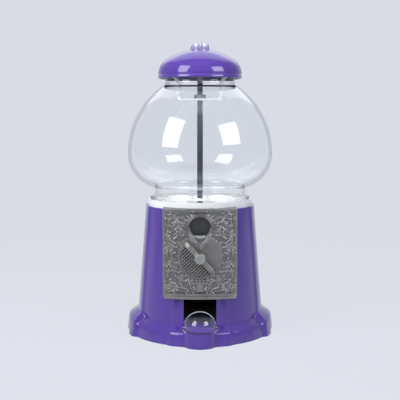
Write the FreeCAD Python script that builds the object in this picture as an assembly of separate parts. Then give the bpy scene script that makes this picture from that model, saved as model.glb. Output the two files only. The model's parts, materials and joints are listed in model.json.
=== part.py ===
import FreeCAD, Part
import math
import os

# A table-top gumball machine. Millimetres, origin at the centre of the base on the table,
# +Z up, the coin face looks along -Y.

# Helper sizes for solids: how far a cutting tool runs past a face, and how far joined forms lap
past = 1.0
lap = 0.5

# Base body: a tapered round casting with a raised panel on each side and a flared skirt
body_top_z = 169.0
body_foot_z = 24.0
body_top_r = 70.2
body_foot_r = 81.6
wall = 3.0
panel_rise = 1.8
front_panel_half_deg = 25.5
side_panel_half_deg = 24.0
panel_blend_deg = 3.0
skirt_bottom_r = 93.2
skirt_top_r = 91.3
skirt_edge_z = 15.6
skirt_rise = 2.6
ledge_drop = 3.6
ledge_sink = 1.0
skirt_bevel_in = 1.1
skirt_bevel_up = 1.6
cavity_drop = 1.4
lobe_bottom_r = 98.4
lobe_top_r = 95.6
lobe_height = 23.6
lobe_half_deg = 28.0
lobe_meets_body_z = 31.0
lobe_bevel_in = 1.4
lobe_bevel_up = 2.0
lobe_cove_out = 3.5
lobe_cove_drop = 2.4
notch_height = 5.5
notch_half_deg = 17.0
notch_depth = 6.0

# Outlet: half-round cup, bubble door and the opening behind it
cup_r = 21.8
cup_wall = 2.5
cup_floor = 3.0
cup_height = 19.3
cup_y = -84.0
outlet_half_width = 20.6
outlet_top_z = 61.0
outlet_sill_z = 14.4
outlet_depth = 14.0
cup_back_depth = 4.0
door_r = 20.9
door_wall = 1.7
door_axis_z = 22.4
door_gap = 0.6
door_flange = 2.3
door_flange_height = 1.3
door_ear_r = 2.6
door_pin_r = 1.5
door_ear_proud = 0.1
lug_r = 3.2
lug_width = 3.2
lug_gap = 0.4
lug_foot_back = 2.0
lug_foot_drop = 8.3
door_lip_gap = 1.0
door_rest_gap = 0.4
door_pin_reach = 1.0

# Bottom cover, its plug and its screws
cover_thickness = 3.0
cover_gap = 0.3
cover_tab_r = 96.0
cover_tab_lap = 4.0
cover_tab_draft = 0.6
plug_y = 42.0
plug_r = 18.0
plug_flange = 3.0
plug_recess = 1.4
plug_lip = 0.7
plug_lip_height = 1.6
plug_wall = 5.0
plug_floor = 2.2
cover_screw_circle_r = 79.5
cover_post_r = 5.0
cover_post_height = 18.0

# Screws, by size: shank and head
small_screw_r = 1.5
small_head_r = 3.0
small_head_height = 1.8
small_screw_length = 9.0
screw_seat_gap = 0.2
driver_slot_half_length = 2.0
driver_slot_half_width = 0.35
driver_slot_depth = 0.8

# Handle axis and gears: the pinion on the handle shaft drives the crown teeth of the wheel
shaft_z = 112.5
shaft_r = 5.0
running_fit = 0.06
crown_pitch_r = 46.0
pinion_teeth = 12
crown_teeth = 48
tooth_height = 4.0
tooth_share = 0.36
crown_inner_r = 43.5
crown_outer_r = 49.5
pinion_width = 6.0
tip_clearance = 0.4
tooth_tip_share = 0.26
pinion_root_share = 0.62
crown_root_share = 0.60
pinion_root_gap = 0.1

# Dispensing wheel and hopper
wheel_r = 50.0
wheel_thickness = 16.0
wheel_gap = 0.6
wheel_rest_gap = 0.3
pocket_count = 4
pocket_r = 12.0
pocket_circle_r = 29.0
drop_hole_gap = 0.6
boss_r = 9.0
boss_top_r = 8.0
boss_above_rim = 1.4
boss_step = 2.0
boss_bevel = 0.8
hopper_wall = 2.4
hopper_floor = 2.5
funnel_start_z = 150.0
flange_inner_r = 53.5
flange_thickness = 4.6
rim_inner_r = 66.6
rim_outer_r = 68.6
rim_height = 4.0
hopper_screw_circle_r = 59.0
hopper_rib_half = 3.5
hopper_rib_nose = 2.6
hopper_rib_height = 27.0
hopper_screw_deg = 55.0
spout_wall = 1.8
spout_length = 11.0
pinion_window_gap = 2.5
pinion_end_gap = 0.8
chute_boss_r = 3.5

# Ball guard over the drop hole
guard_thickness = 2.0
guard_half_width = 15.5
guard_tab_half_width = 9.0
guard_gap = 0.8
guard_screw_r = 57.5
guard_overlap = 1.0
guard_foot = 4.0

# Globe: outer profile of tangent arcs, even wall
globe_r = 95.5
globe_mid_z = 237.0
globe_upper_arc_r = 108.5
globe_lower_arc_r = 45.0
globe_wall = 2.6
neck_r = 45.5
neck_top_z = 350.0
neck_rim_r = 47.0
neck_rim_height = 5.0
shoulder_r = 50.0
waist_r = 59.7
collar_r = 66.2
collar_foot_inner_r = 62.6
collar_height = 6.2
gasket_thickness = 0.8
lower_arc_end_r = 64.0
collar_bevel = 1.0
collar_inner_drop = 2.6
neck_fillet = 4.5
neck_bend = 1.4
neck_rim_slope = 1.2
neck_rim_bevel = 1.0

# Rod and globe clamp
rod_r = 3.9
rod_top_z = 379.0
rod_below_floor = 12.0
rod_tip_bevel = 0.8
nut_across_flats = 13.6
nut_height = 5.0
washer_r = 9.0
washer_thickness = 1.4
clamp_bar_z = 307.0
clamp_thickness = 2.5
clamp_width = 14.0
clamp_bar_half = 26.2
clamp_arm_half = 31.1
clamp_arm_z = 337.8
clamp_hook_half = 40.9
clamp_hook_reach = 44.2
clamp_hole_gap = 0.5

# Lid and knob: a crown arc and a shoulder arc, tangent to each other
lid_r = 55.1
lid_rim_z = 335.5
lid_band_z = 341.6
lid_shoulder_arc_r = 22.0
lid_crown_arc_r = 80.0
lid_wall = 1.6
lid_hole_gap = 0.5
lid_rib_width = 1.8
lid_rib_gap = 0.6
lid_rib_slope = 1.4
knob_r = 12.8
knob_top_z = 381.0
knob_flutes = 20
knob_flute_r = 1.1
knob_seat_gap = 0.15
knob_bevel = 1.0
knob_skirt = 3.0
knob_bore_gap = 0.3
knob_flute_out = 0.4

# Face plate: a shallow cast box with a coin window, standing on the curved body
plate_half_width = 46.6
plate_top_z = 171.5
plate_bottom_z = 63.0
plate_front_y = -83.5
plate_thickness = 3.0
plate_seat_gap = 0.2
moulding_height = 3.2
moulding_bow = 8.0
moulding_step = 3.0
moulding_inset = 1.0
coin_window_r = 13.7
coin_centre_r = 36.0
bezel_width = 4.2
bezel_rise = 1.2
bezel_point_drop = 28.0
escutcheon_r = 28.0
escutcheon_rise = 2.0
slot_half_width = 11.8
slot_height = 1.2
slot_drop = 4.2
slot_depth = 1.6
plate_boss_r = 4.0
plate_boss_x = 40.0
plate_boss_inset = 12.0
plate_boss_proud = 1.0
plate_hole_depth = 2.0

# Coin mechanism behind the plate
mech_opening_half_width = 34.5
mech_opening_margin = 6.0
mech_opening_top_margin = 9.0
sill_drop = 5.0
coin_wheel_r = 38.0
coin_wheel_thickness = 3.0
coin_wheel_gap = 1.0
coin_pocket_r = 12.6
ratchet_r = 22.0
ratchet_teeth = 16
ratchet_depth = 2.4
ratchet_thickness = 3.0
ratchet_slope_share = 0.94
backplate_gap = 3.4
backplate_thickness = 1.6
backplate_half_width = 34.0
backplate_top_inset = 6.0
backplate_bottom_inset = 13.0
post_r = 3.6
post_x = 30.5
post_inset = 4.0
bush_wall = 2.0
bush_length = 4.5
lever_thickness = 2.4
lever_boss_r = 3.8
lever_pin_r = 1.8
pin_head_r = 3.0
pin_head_height = 0.6
pawl_gap = 0.5
pawl_nose_r = 0.8
gauge_pivot_x = 27.5
gauge_pivot_rise = 38.0
gauge_tip_x = 36.0
gauge_tip_rise = 23.0
gauge_nose_r = 4.2
pawl_pivot_x = -29.5
pawl_pivot_drop = 13.0
pawl_tip_deg = 160.0
pawl_tip_gap = 0.4
spring_wire = 0.9
spring_leg = 7.0
spring_bore_gap = 0.5
spring_end_gap = 0.4
spring_hook = 0.8

# Handle: a half-disc fan, a fin to grip and a round hub with a cap
handle_gap = 0.5
fan_r = 26.0
fan_thickness = 3.4
fin_length = 53.7
fin_width = 6.2
fin_height = 11.0
fin_deg = 133.0
fin_corner = 6.0
hub_r = 7.0
hub_height = 13.0
cap_height = 1.8
cap_stem_r = 1.6
cap_stem_length = 8.0
cap_inset = 0.4
cap_bevel = 0.6
hub_face = 1.0
clip_r = 6.4
clip_thickness = 1.2

# Chute: a black duct from the drop hole under the hopper to the outlet
chute_half_width = 21.8
chute_wall = 1.8
chute_front_y = -76.5
chute_floor_front_z = 18.6
chute_body_gap = 0.4
chute_floor_slope = 0.40
chute_roof_front_z = 60.0
chute_roof_slope = 0.34
chute_intake_gap = 1.0
chute_intake_lap = 5.0
chute_tongue = 5.0
deflector_height = 9.0
deflector_depth = 14.0
chute_ear = 7.0
chute_ear_thickness = 2.0
chute_screw_bite = 4.0

# Levels and places worked out from the sizes above
gear_module = 2.0 * crown_pitch_r / crown_teeth
pinion_pitch_r = gear_module * pinion_teeth / 2.0
pitch_z = shaft_z + pinion_pitch_r
crown_tip_z = pitch_z - tooth_height / 2.0 + tip_clearance
wheel_bottom_z = crown_tip_z + tooth_height
wheel_top_z = wheel_bottom_z + wheel_thickness
floor_top_z = wheel_bottom_z - wheel_rest_gap
groove_top_z = crown_tip_z - wheel_gap
floor_under_z = floor_top_z - hopper_floor
groove_under_z = groove_top_z - hopper_floor
bowl_r = wheel_r + wheel_gap
groove_inner_r = crown_inner_r - wheel_gap
pinion_y = -(crown_inner_r + crown_outer_r) / 2.0
drop_y = pocket_circle_r
drop_r = pocket_r + drop_hole_gap
spout_end_z = floor_under_z - spout_length
seat_z = body_top_z + flange_thickness
globe_foot_z = seat_z + gasket_thickness
boss_top_z = seat_z + boss_above_rim
rod_bottom_z = floor_under_z - rod_below_floor
body_taper = (body_foot_r - body_top_r) / (body_top_z - body_foot_z)
plate_back_y = plate_front_y + plate_thickness
coin_z = shaft_z + coin_centre_r
coin_wheel_y = plate_back_y + coin_wheel_gap
ratchet_y = coin_wheel_y + coin_wheel_thickness
backplate_y = ratchet_y + ratchet_thickness + backplate_gap
backplate_top_z = plate_top_z - plate_thickness - backplate_top_inset
backplate_bottom_z = plate_bottom_z + plate_thickness + backplate_bottom_inset
escutcheon_y = plate_front_y - escutcheon_rise
handle_back_y = escutcheon_y - handle_gap
fan_front_y = handle_back_y - fan_thickness
hub_front_y = fan_front_y - hub_height
shaft_end_y = pinion_y + pinion_width / 2.0 + 2.0 * clip_thickness
lid_crown_z = lid_band_z - math.sqrt(
    (lid_crown_arc_r - lid_shoulder_arc_r) ** 2 - (lid_r - lid_shoulder_arc_r) ** 2)
lid_top_z = lid_crown_z + lid_crown_arc_r
chute_side = chute_half_width + chute_wall
intake_back_y = drop_y + drop_r + spout_wall + chute_intake_gap
intake_front_y = drop_y - drop_r - spout_wall - chute_intake_gap
intake_top_z = spout_end_z + chute_intake_lap
clamp_top_z = clamp_bar_z + clamp_thickness
plate_boss_levels = (plate_bottom_z + plate_boss_inset, plate_top_z - plate_boss_inset)
post_levels = (backplate_bottom_z + post_inset, backplate_top_z - post_inset)


def vec(x, y, z):
    return FreeCAD.Vector(x, y, z)


def block(x0, x1, y0, y1, z0, z1):
    return Part.makeBox(x1 - x0, y1 - y0, z1 - z0, vec(x0, y0, z0))


def rod_along_z(r, z0, z1, x=0.0, y=0.0):
    return Part.makeCylinder(r, z1 - z0, vec(x, y, z0), vec(0, 0, 1))


def rod_along_y(r, y0, y1, x=0.0, z=0.0):
    return Part.makeCylinder(r, y1 - y0, vec(x, y0, z), vec(0, 1, 0))


def rod_along_x(r, x0, x1, y=0.0, z=0.0):
    return Part.makeCylinder(r, x1 - x0, vec(x0, y, z), vec(1, 0, 0))


def line(a, b):
    return Part.LineSegment(a, b).toShape()


def arc(a, b, c):
    return Part.Arc(a, b, c).toShape()


def face_of(edges):
    return Part.Face(Part.Wire(Part.__sortEdges__(edges)))


def polygon(points):
    return Part.Face(Part.makePolygon(points + points[:1]))


def turned(face, start_deg=0.0, sweep_deg=360.0):
    # A face in the XZ plane carried round Z
    face = face.copy()
    face.rotate(vec(0, 0, 0), vec(0, 0, 1), start_deg)
    return face.revolve(vec(0, 0, 0), vec(0, 0, 1), sweep_deg)


def turned_polygon(pairs, start_deg=0.0, sweep_deg=360.0):
    return turned(polygon([vec(r, 0, z) for r, z in pairs]), start_deg, sweep_deg)


def fused(shapes):
    return shapes[0].multiFuse(shapes[1:]).removeSplitter()


def cut_all(shape, tools):
    return shape.cut(Part.makeCompound(tools))


def around(circle_r, degrees):
    # Points on a circle round the machine's axis, the angle measured from the front
    return [(circle_r * math.sin(math.radians(d)), -circle_r * math.cos(math.radians(d))) for d in degrees]


def on_plan(r, degrees, z):
    # The angle is measured from +X towards +Y
    return vec(r * math.cos(math.radians(degrees)), r * math.sin(math.radians(degrees)), z)


def step_curve(r0, r1, a0, a1, z):
    # An S-shaped step between two radii, tangent to both circles
    p0 = on_plan(r0, a0, z)
    p3 = on_plan(r1, a1, z)
    reach = math.radians(a1 - a0) * (r0 + r1) / 4.0
    p1 = p0 + on_plan(reach, a0 + 90.0, 0.0)
    p2 = p3 - on_plan(reach, a1 + 90.0, 0.0)
    curve = Part.BezierCurve()
    curve.setPoles([p0, p1, p2, p3])
    return curve.toShape()


def lobed_wire(main_r, front_r, side_r, side_half, z):
    # A circle with a raised panel at the right, back, left and front
    panels = [(0.0, side_half, side_r), (90.0, front_panel_half_deg, front_r)]
    panels += [(180.0, side_half, side_r), (270.0, front_panel_half_deg, front_r)]
    edges = []
    for place, (centre, half, high) in enumerate(panels):
        following_half = panels[(place + 1) % 4][1]
        a0, a1 = centre - half - panel_blend_deg, centre - half + panel_blend_deg
        a2, a3 = centre + half - panel_blend_deg, centre + half + panel_blend_deg
        a4 = centre + 90.0 - following_half - panel_blend_deg
        edges.append(step_curve(main_r, high, a0, a1, z))
        edges.append(arc(on_plan(high, a1, z), on_plan(high, centre, z), on_plan(high, a2, z)))
        edges.append(step_curve(high, main_r, a2, a3, z))
        between = on_plan(main_r, (a3 + a4) / 2.0, z)
        edges.append(arc(on_plan(main_r, a3, z), between, on_plan(main_r, a4, z)))
    return Part.Wire(edges)


def body_radius(z):
    return body_foot_r - body_taper * (z - body_foot_z)


def between_points(points, z):
    # Radius at a height on a profile of (z, radius) points joined by straight lines
    for (z0, r0), (z1, r1) in zip(points, points[1:]):
        if z0 <= z <= z1:
            return r0 + (r1 - r0) * (z - z0) / (z1 - z0)


def body_envelope(grow, top_z):
    # The outer form of the body, grown evenly outwards: plain ring, front panels and side lobes by height
    bevel_z = skirt_edge_z + skirt_bevel_up
    ledge_z = body_foot_z - ledge_drop
    ledge_r = (skirt_top_r + body_foot_r) / 2.0 - ledge_sink
    cove_z = lobe_meets_body_z - lobe_cove_drop
    plain = [(0.0, skirt_bottom_r), (skirt_edge_z, skirt_top_r), (bevel_z, skirt_top_r - skirt_bevel_in)]
    plain += [(ledge_z, ledge_r), (body_foot_z, body_foot_r), (top_z, body_radius(top_z))]
    rise = [(0.0, skirt_rise), (bevel_z, skirt_rise), (body_foot_z, panel_rise), (top_z, panel_rise)]
    lobe = [(0.0, lobe_bottom_r), (lobe_height - lobe_bevel_up, lobe_top_r)]
    lobe += [(lobe_height, lobe_top_r - lobe_bevel_in), (cove_z, body_radius(cove_z) + panel_rise + lobe_cove_out)]
    lobe += [(lobe_meets_body_z, body_radius(lobe_meets_body_z) + panel_rise)]
    lobe += [(top_z, body_radius(top_z) + panel_rise)]
    half = [(0.0, lobe_half_deg), (lobe_height, lobe_half_deg)]
    half += [(lobe_meets_body_z, side_panel_half_deg), (top_z, side_panel_half_deg)]
    wires = []
    for z in sorted({z for z, r in plain + lobe}):
        main_r = between_points(plain, z) + grow
        side_r = between_points(lobe, z) + grow
        wires.append(lobed_wire(main_r, main_r + between_points(rise, z), side_r, between_points(half, z), z))
    return Part.makeLoft(wires, True, True)


def plate_boss_places():
    return [(side * plate_boss_x, z) for side in (-1.0, 1.0) for z in plate_boss_levels]


def post_places():
    return [(side * post_x, z) for side in (-1.0, 1.0) for z in post_levels]


def make_base_body():
    outer = body_envelope(0.0, body_top_z)
    cup = rod_along_z(cup_r, 0.0, cup_height, 0.0, cup_y)
    outer = fused([outer, cup])
    body = outer.cut(body_cavity(wall))
    additions = [cup_shell()]
    additions += [s.common(outer) for s in screw_posts()]
    additions += door_lugs()
    body = fused([body] + additions)
    return cut_all(body, body_cuts())


def body_cavity(inset):
    # The room inside the body, the given distance in from its plain outer form
    return turned_polygon([
        (0.0, -past),
        (skirt_bottom_r - inset, -past),
        (skirt_bottom_r - inset, 0.0),
        (skirt_top_r - inset, skirt_edge_z - cavity_drop),
        (body_foot_r - inset, body_foot_z - cavity_drop),
        (body_top_r - inset, body_top_z),
        (body_top_r - inset, body_top_z + past),
        (0.0, body_top_z + past),
    ])


def cup_shell():
    solid = rod_along_z(cup_r, 0.0, cup_height, 0.0, cup_y)
    back_y = cup_y + cup_back_depth
    behind = block(-cup_r, cup_r, back_y, cup_y + 2.0 * cup_r, outlet_sill_z, cup_height + past)
    return solid.cut(behind)


def screw_posts():
    posts = []
    for x, y in cover_screw_places():
        posts.append(rod_along_z(cover_post_r, cover_thickness, cover_thickness + cover_post_height, x, y))
    low = body_top_z - hopper_rib_height
    for degrees in hopper_screw_angles():
        nose = -hopper_screw_circle_r + hopper_rib_nose
        rib = block(-hopper_rib_half, hopper_rib_half, -body_top_r, nose, low, body_top_z)
        rib.rotate(vec(0, 0, 0), vec(0, 0, 1), degrees)
        posts.append(rib)
    for x, z in plate_boss_places():
        outside = -math.sqrt((body_radius(z) + panel_rise) ** 2 - (abs(x) - plate_boss_r) ** 2)
        posts.append(rod_along_y(plate_boss_r, outside, plate_screw_seat(x, z), x, z))
    return posts


def hopper_screw_angles():
    return (hopper_screw_deg, 180.0 - hopper_screw_deg, 180.0 + hopper_screw_deg, -hopper_screw_deg)


def door_lug_start():
    return door_r + door_gap + lug_gap


def door_lugs():
    lugs = []
    start = door_lug_start()
    for side in (-1.0, 1.0):
        x0, x1 = sorted((side * start, side * (start + lug_width)))
        eye = rod_along_x(lug_r, x0, x1, cup_y, door_axis_z)
        foot_back = cup_y + lug_r + lug_foot_back
        foot = block(x0, x1, cup_y - lug_r, foot_back, door_axis_z - lug_foot_drop, door_axis_z)
        lugs += [eye, foot]
    return lugs


def body_cuts():
    cuts = [rod_along_z(cup_r - cup_wall, cup_floor, door_axis_z + past, 0.0, cup_y)]
    wide = outlet_half_width
    cuts.append(block(-wide, wide, cup_y, cup_y + outlet_depth, outlet_sill_z, outlet_top_z))
    relief = Part.makeSphere(door_r + door_gap, vec(0, cup_y, door_axis_z))
    reach = 2.0 * door_r
    cuts.append(relief.common(block(-reach, reach, cup_y - reach, cup_y + reach, cup_height, 3.0 * reach)))
    cuts.append(rod_along_x(door_pin_r, -reach, reach, cup_y, door_axis_z))
    half = mech_opening_half_width
    low = plate_bottom_z + mech_opening_margin
    high = plate_top_z - mech_opening_top_margin
    cuts.append(block(-half, half, plate_front_y, 0.0, low, high))
    # The sill slopes inwards, so that coins slide into the base
    outer_y = -body_radius(low) - panel_rise
    inner_y = outer_y + panel_rise + wall + 2.0 * past
    sill = [vec(-half, outer_y, low), vec(-half, inner_y, low), vec(-half, inner_y, low - sill_drop)]
    cuts.append(polygon(sill).extrude(vec(2.0 * half, 0, 0)))
    for x, z in plate_boss_places():
        cuts.append(rod_along_y(small_screw_r, plate_front_y, 0.0, x, z))
    for x, y in cover_screw_places():
        cuts.append(rod_along_z(small_screw_r, 0.0, cover_thickness + small_screw_length, x, y))
    for x, y in around(hopper_screw_circle_r, hopper_screw_angles()):
        cuts.append(rod_along_z(small_screw_r, body_top_z - small_screw_length, body_top_z + past, x, y))
    for centre in (0.0, 180.0):
        inner_r = cover_radius() - notch_depth
        outer_r = lobe_bottom_r + past
        ring = [(inner_r, -past), (outer_r, -past), (outer_r, notch_height), (inner_r, notch_height)]
        cuts.append(turned_polygon(ring, centre - notch_half_deg, 2.0 * notch_half_deg))
    return cuts


def cover_radius():
    # The skirt's bore at the cover's upper face, less the gap
    share = cover_thickness / (skirt_edge_z - cavity_drop)
    return skirt_bottom_r - wall - share * (skirt_bottom_r - skirt_top_r) - cover_gap


def cover_screw_places():
    return around(cover_screw_circle_r, (45.0, 135.0, 225.0, 315.0))


def make_bottom_cover():
    cover = rod_along_z(cover_radius(), 0.0, cover_thickness)
    tabs = []
    gap_deg = math.degrees(cover_gap / cover_radius())
    half = notch_half_deg - gap_deg
    for centre in (0.0, 180.0):
        inner_r = cover_radius() - cover_tab_lap
        top = notch_height - cover_gap
        ring = [(inner_r, 0.0), (cover_tab_r, 0.0), (cover_tab_r - cover_tab_draft, top), (inner_r, top)]
        tabs.append(turned_polygon(ring, centre - half, 2.0 * half))
    cover = fused([cover] + tabs)
    cuts = [rod_along_z(cup_r + cover_gap, -past, cover_thickness + past, 0.0, cup_y)]
    cuts.append(rod_along_z(plug_r, -past, cover_thickness + past, 0.0, plug_y))
    cuts.append(rod_along_z(plug_r + plug_flange, -past, plug_recess, 0.0, plug_y))
    for x, y in cover_screw_places():
        cuts.append(rod_along_z(small_screw_r, -past, cover_thickness + past, x, y))
        cuts.append(rod_along_z(small_head_r + screw_seat_gap, -past, small_head_height, x, y))
    return cut_all(cover, cuts)


def make_coin_plug():
    flange = rod_along_z(plug_r + plug_flange - cover_gap, screw_seat_gap, plug_recess, 0.0, plug_y)
    top = cover_thickness + plug_lip_height
    stem = rod_along_z(plug_r - cover_gap, screw_seat_gap, top, 0.0, plug_y)
    lip = rod_along_z(plug_r + plug_lip, cover_thickness, top, 0.0, plug_y)
    hollow = rod_along_z(plug_r - plug_wall, screw_seat_gap + plug_floor, top + past, 0.0, plug_y)
    return fused([flange, stem, lip]).cut(hollow)


def screw_down(x, y, seat, length):
    # A pan-head screw whose head stands on the seat and whose shank runs down
    head = rod_along_z(small_head_r, seat, seat + small_head_height, x, y)
    top = seat + small_head_height
    along, across = driver_slot_half_length, driver_slot_half_width
    slot = block(x - along, x + along, y - across, y + across, top - driver_slot_depth, top + past)
    shank = rod_along_z(small_screw_r, seat - length, seat, x, y)
    return fused([head.cut(slot), shank])


def screw_up(x, y, seat, length):
    head = rod_along_z(small_head_r, seat - small_head_height, seat, x, y)
    shank = rod_along_z(small_screw_r, seat, seat + length, x, y)
    return fused([head, shank])


def screw_forward(x, z, seat, length):
    # A screw put in from behind: the head stands at the seat, the shank runs to the front
    head = rod_along_y(small_head_r, seat, seat + small_head_height, x, z)
    shank = rod_along_y(small_screw_r, seat - length, seat, x, z)
    return fused([head, shank])


def make_cover_screws():
    length = cover_thickness - small_head_height + small_screw_length
    return Part.makeCompound([screw_up(x, y, small_head_height, length) for x, y in cover_screw_places()])


def make_hopper():
    profile = [
        (rod_r, floor_under_z),
        (groove_inner_r - hopper_floor, floor_under_z),
        (groove_inner_r - hopper_floor, groove_under_z),
        (bowl_r + hopper_wall, groove_under_z),
        (bowl_r + hopper_wall, funnel_start_z),
        (flange_inner_r + hopper_wall, body_top_z),
        (rim_outer_r, body_top_z),
        (rim_outer_r, seat_z + rim_height),
        (rim_inner_r, seat_z + rim_height),
        (rim_inner_r, seat_z),
        (flange_inner_r, seat_z),
        (bowl_r, funnel_start_z),
        (bowl_r, groove_top_z),
        (groove_inner_r, groove_top_z),
        (groove_inner_r, floor_top_z),
        (boss_r, floor_top_z),
        (boss_r, wheel_top_z),
        (boss_top_r, wheel_top_z + boss_step),
        (boss_top_r, boss_top_z - boss_bevel),
        (boss_top_r - boss_bevel, boss_top_z),
        (rod_r, boss_top_z),
    ]
    spout = rod_along_z(drop_r + spout_wall, spout_end_z, floor_top_z, 0.0, drop_y)
    boss_end_z = floor_top_z - lap
    bosses = [rod_along_z(chute_boss_r, intake_top_z, boss_end_z, x, drop_y) for x in chute_screw_xs()]
    hopper = fused([turned_polygon(profile), spout] + bosses)
    half = pinion_pitch_r + pinion_window_gap
    window_y0 = -bowl_r - hopper_wall - past
    window_y1 = pinion_y + pinion_width / 2.0 + pinion_end_gap
    cuts = [rod_along_z(drop_r, spout_end_z - past, floor_top_z + past, 0.0, drop_y)]
    cuts.append(block(-half, half, window_y0, window_y1, groove_under_z - past, wheel_bottom_z))
    for x, y in around(hopper_screw_circle_r, hopper_screw_angles()):
        cuts.append(rod_along_z(small_screw_r, body_top_z - past, seat_z + past, x, y))
    cuts.append(rod_along_z(small_screw_r, body_top_z - past, seat_z + past, 0.0, guard_screw_r))
    for x in chute_screw_xs():
        bite_z = intake_top_z + chute_screw_bite
        cuts.append(rod_along_z(small_screw_r, intake_top_z - past, bite_z, x, drop_y))
    return cut_all(hopper, cuts)


def chute_screw_xs():
    return (-chute_side - chute_ear / 2.0, chute_side + chute_ear / 2.0)


def make_hopper_screws():
    places = around(hopper_screw_circle_r, hopper_screw_angles())
    length = seat_z - body_top_z + small_screw_length
    return Part.makeCompound([screw_down(x, y, seat_z, length) for x, y in places])


def make_ball_guard():
    low = wheel_top_z + guard_gap
    plate_back = math.sqrt(bowl_r ** 2 - guard_half_width ** 2) - guard_gap
    tab_back = math.sqrt(bowl_r ** 2 - guard_tab_half_width ** 2) - guard_gap
    tab_front = tab_back - guard_thickness
    wide, narrow = guard_half_width, guard_tab_half_width
    top, hook_top = low + guard_thickness, seat_z + guard_thickness
    plate = block(-wide, wide, drop_y - pocket_r - guard_overlap, plate_back, low, top)
    foot = block(-narrow, narrow, tab_front - guard_foot, tab_back, low, top)
    tab = block(-narrow, narrow, tab_front, tab_back, low, hook_top)
    hook = block(-narrow, narrow, tab_front, guard_screw_r + small_head_r, seat_z, hook_top)
    hole = rod_along_z(small_screw_r, seat_z - past, hook_top + past, 0.0, guard_screw_r)
    return fused([plate, foot, tab, hook]).cut(hole)


def make_guard_screw():
    seat = seat_z + guard_thickness
    return screw_down(0.0, guard_screw_r, seat, guard_thickness + flange_thickness)


def make_globe_gasket():
    ring = rod_along_z(collar_r, seat_z, globe_foot_z)
    return ring.cut(rod_along_z(collar_foot_inner_r, seat_z - past, globe_foot_z + past))


def globe_wall_points(inset):
    # Key points of one wall surface of the globe; inset is 0 outside and the wall inside
    upper_r = globe_upper_arc_r - inset
    lower_r = globe_lower_arc_r - inset
    upper_cx = globe_r - globe_upper_arc_r
    lower_cx = globe_r - globe_lower_arc_r
    shoulder_angle = math.acos((shoulder_r - upper_cx) / globe_upper_arc_r)
    lower_angle = math.asin((lower_arc_end_r - lower_cx) / globe_lower_arc_r)

    def on_upper(angle):
        return vec(upper_cx + upper_r * math.cos(angle), 0, globe_mid_z + upper_r * math.sin(angle))

    def on_lower(angle):
        return vec(lower_cx + lower_r * math.sin(angle), 0, globe_mid_z - lower_r * math.cos(angle))

    return {
        "shoulder": on_upper(shoulder_angle),
        "upper_mid": on_upper(shoulder_angle / 2.0),
        "middle": vec(globe_r - inset, 0, globe_mid_z),
        "lower_mid": on_lower((lower_angle + math.pi / 2.0) / 2.0),
        "lower_end": on_lower(lower_angle),
    }


def make_globe():
    outer = globe_wall_points(0.0)
    inner = globe_wall_points(globe_wall)
    neck_in = neck_r - globe_wall
    neck_start_z = outer["shoulder"].z + neck_fillet
    rim_z = neck_top_z - neck_rim_height
    collar_top_z = globe_foot_z + collar_height
    waist_z = (outer["lower_end"].z + collar_top_z) / 2.0
    edges = []
    # Outside, from the foot up to the rim
    foot_out = vec(collar_r, 0, globe_foot_z)
    collar_out = vec(collar_r, 0, collar_top_z - collar_bevel)
    collar_turn = vec(collar_r - collar_bevel, 0, collar_top_z)
    neck_low = vec(neck_r, 0, neck_start_z)
    neck_high = vec(neck_r, 0, rim_z)
    rim_low = vec(neck_rim_r, 0, rim_z + neck_rim_slope)
    rim_high = vec(neck_rim_r, 0, neck_top_z - neck_rim_bevel)
    rim_out = vec(neck_rim_r - neck_rim_bevel, 0, neck_top_z)
    outer_bend = vec(neck_r + neck_bend, 0, outer["shoulder"].z + neck_bend)
    edges.append(line(foot_out, collar_out))
    edges.append(line(collar_out, collar_turn))
    edges.append(arc(collar_turn, vec(waist_r, 0, waist_z), outer["lower_end"]))
    edges.append(arc(outer["lower_end"], outer["lower_mid"], outer["middle"]))
    edges.append(arc(outer["middle"], outer["upper_mid"], outer["shoulder"]))
    edges.append(arc(outer["shoulder"], outer_bend, neck_low))
    edges.append(line(neck_low, neck_high))
    edges.append(line(neck_high, rim_low))
    edges.append(line(rim_low, rim_high))
    edges.append(line(rim_high, rim_out))
    # Inside, from the rim down to the foot
    rim_in = vec(neck_in, 0, neck_top_z)
    neck_in_low = vec(neck_in, 0, inner["shoulder"].z + neck_fillet)
    inner_bend = vec(neck_in + neck_bend, 0, inner["shoulder"].z + neck_bend)
    collar_in = vec(collar_foot_inner_r, 0, collar_top_z - collar_inner_drop)
    foot_in = vec(collar_foot_inner_r, 0, globe_foot_z)
    edges.append(line(rim_out, rim_in))
    edges.append(line(rim_in, neck_in_low))
    edges.append(arc(neck_in_low, inner_bend, inner["shoulder"]))
    edges.append(arc(inner["shoulder"], inner["upper_mid"], inner["middle"]))
    edges.append(arc(inner["middle"], inner["lower_mid"], inner["lower_end"]))
    edges.append(arc(inner["lower_end"], vec(waist_r - globe_wall, 0, waist_z), collar_in))
    edges.append(line(collar_in, foot_in))
    edges.append(line(foot_in, foot_out))
    return turned(face_of(edges))


def hex_nut(z0, z1):
    across_corners_r = nut_across_flats / math.sqrt(3.0)
    points = [on_plan(across_corners_r, 60.0 * k, z0) for k in range(6)]
    nut = polygon(points).extrude(vec(0, 0, z1 - z0))
    return nut.cut(rod_along_z(rod_r, z0 - past, z1 + past))


def make_center_rod():
    shoulder_z = rod_top_z - rod_tip_bevel
    rod = rod_along_z(rod_r, rod_bottom_z, shoulder_z)
    tip = Part.makeCone(rod_r, rod_r - rod_tip_bevel, rod_tip_bevel, vec(0, 0, shoulder_z))
    return fused([rod, tip])


def make_rod_washer():
    disc = rod_along_z(washer_r, floor_under_z - washer_thickness, floor_under_z)
    return disc.cut(rod_along_z(rod_r, rod_bottom_z, floor_under_z + past))


def make_rod_nut():
    top = floor_under_z - washer_thickness
    return hex_nut(top - nut_height, top)


def make_clamp_nut():
    return hex_nut(clamp_top_z, clamp_top_z + nut_height)


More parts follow.
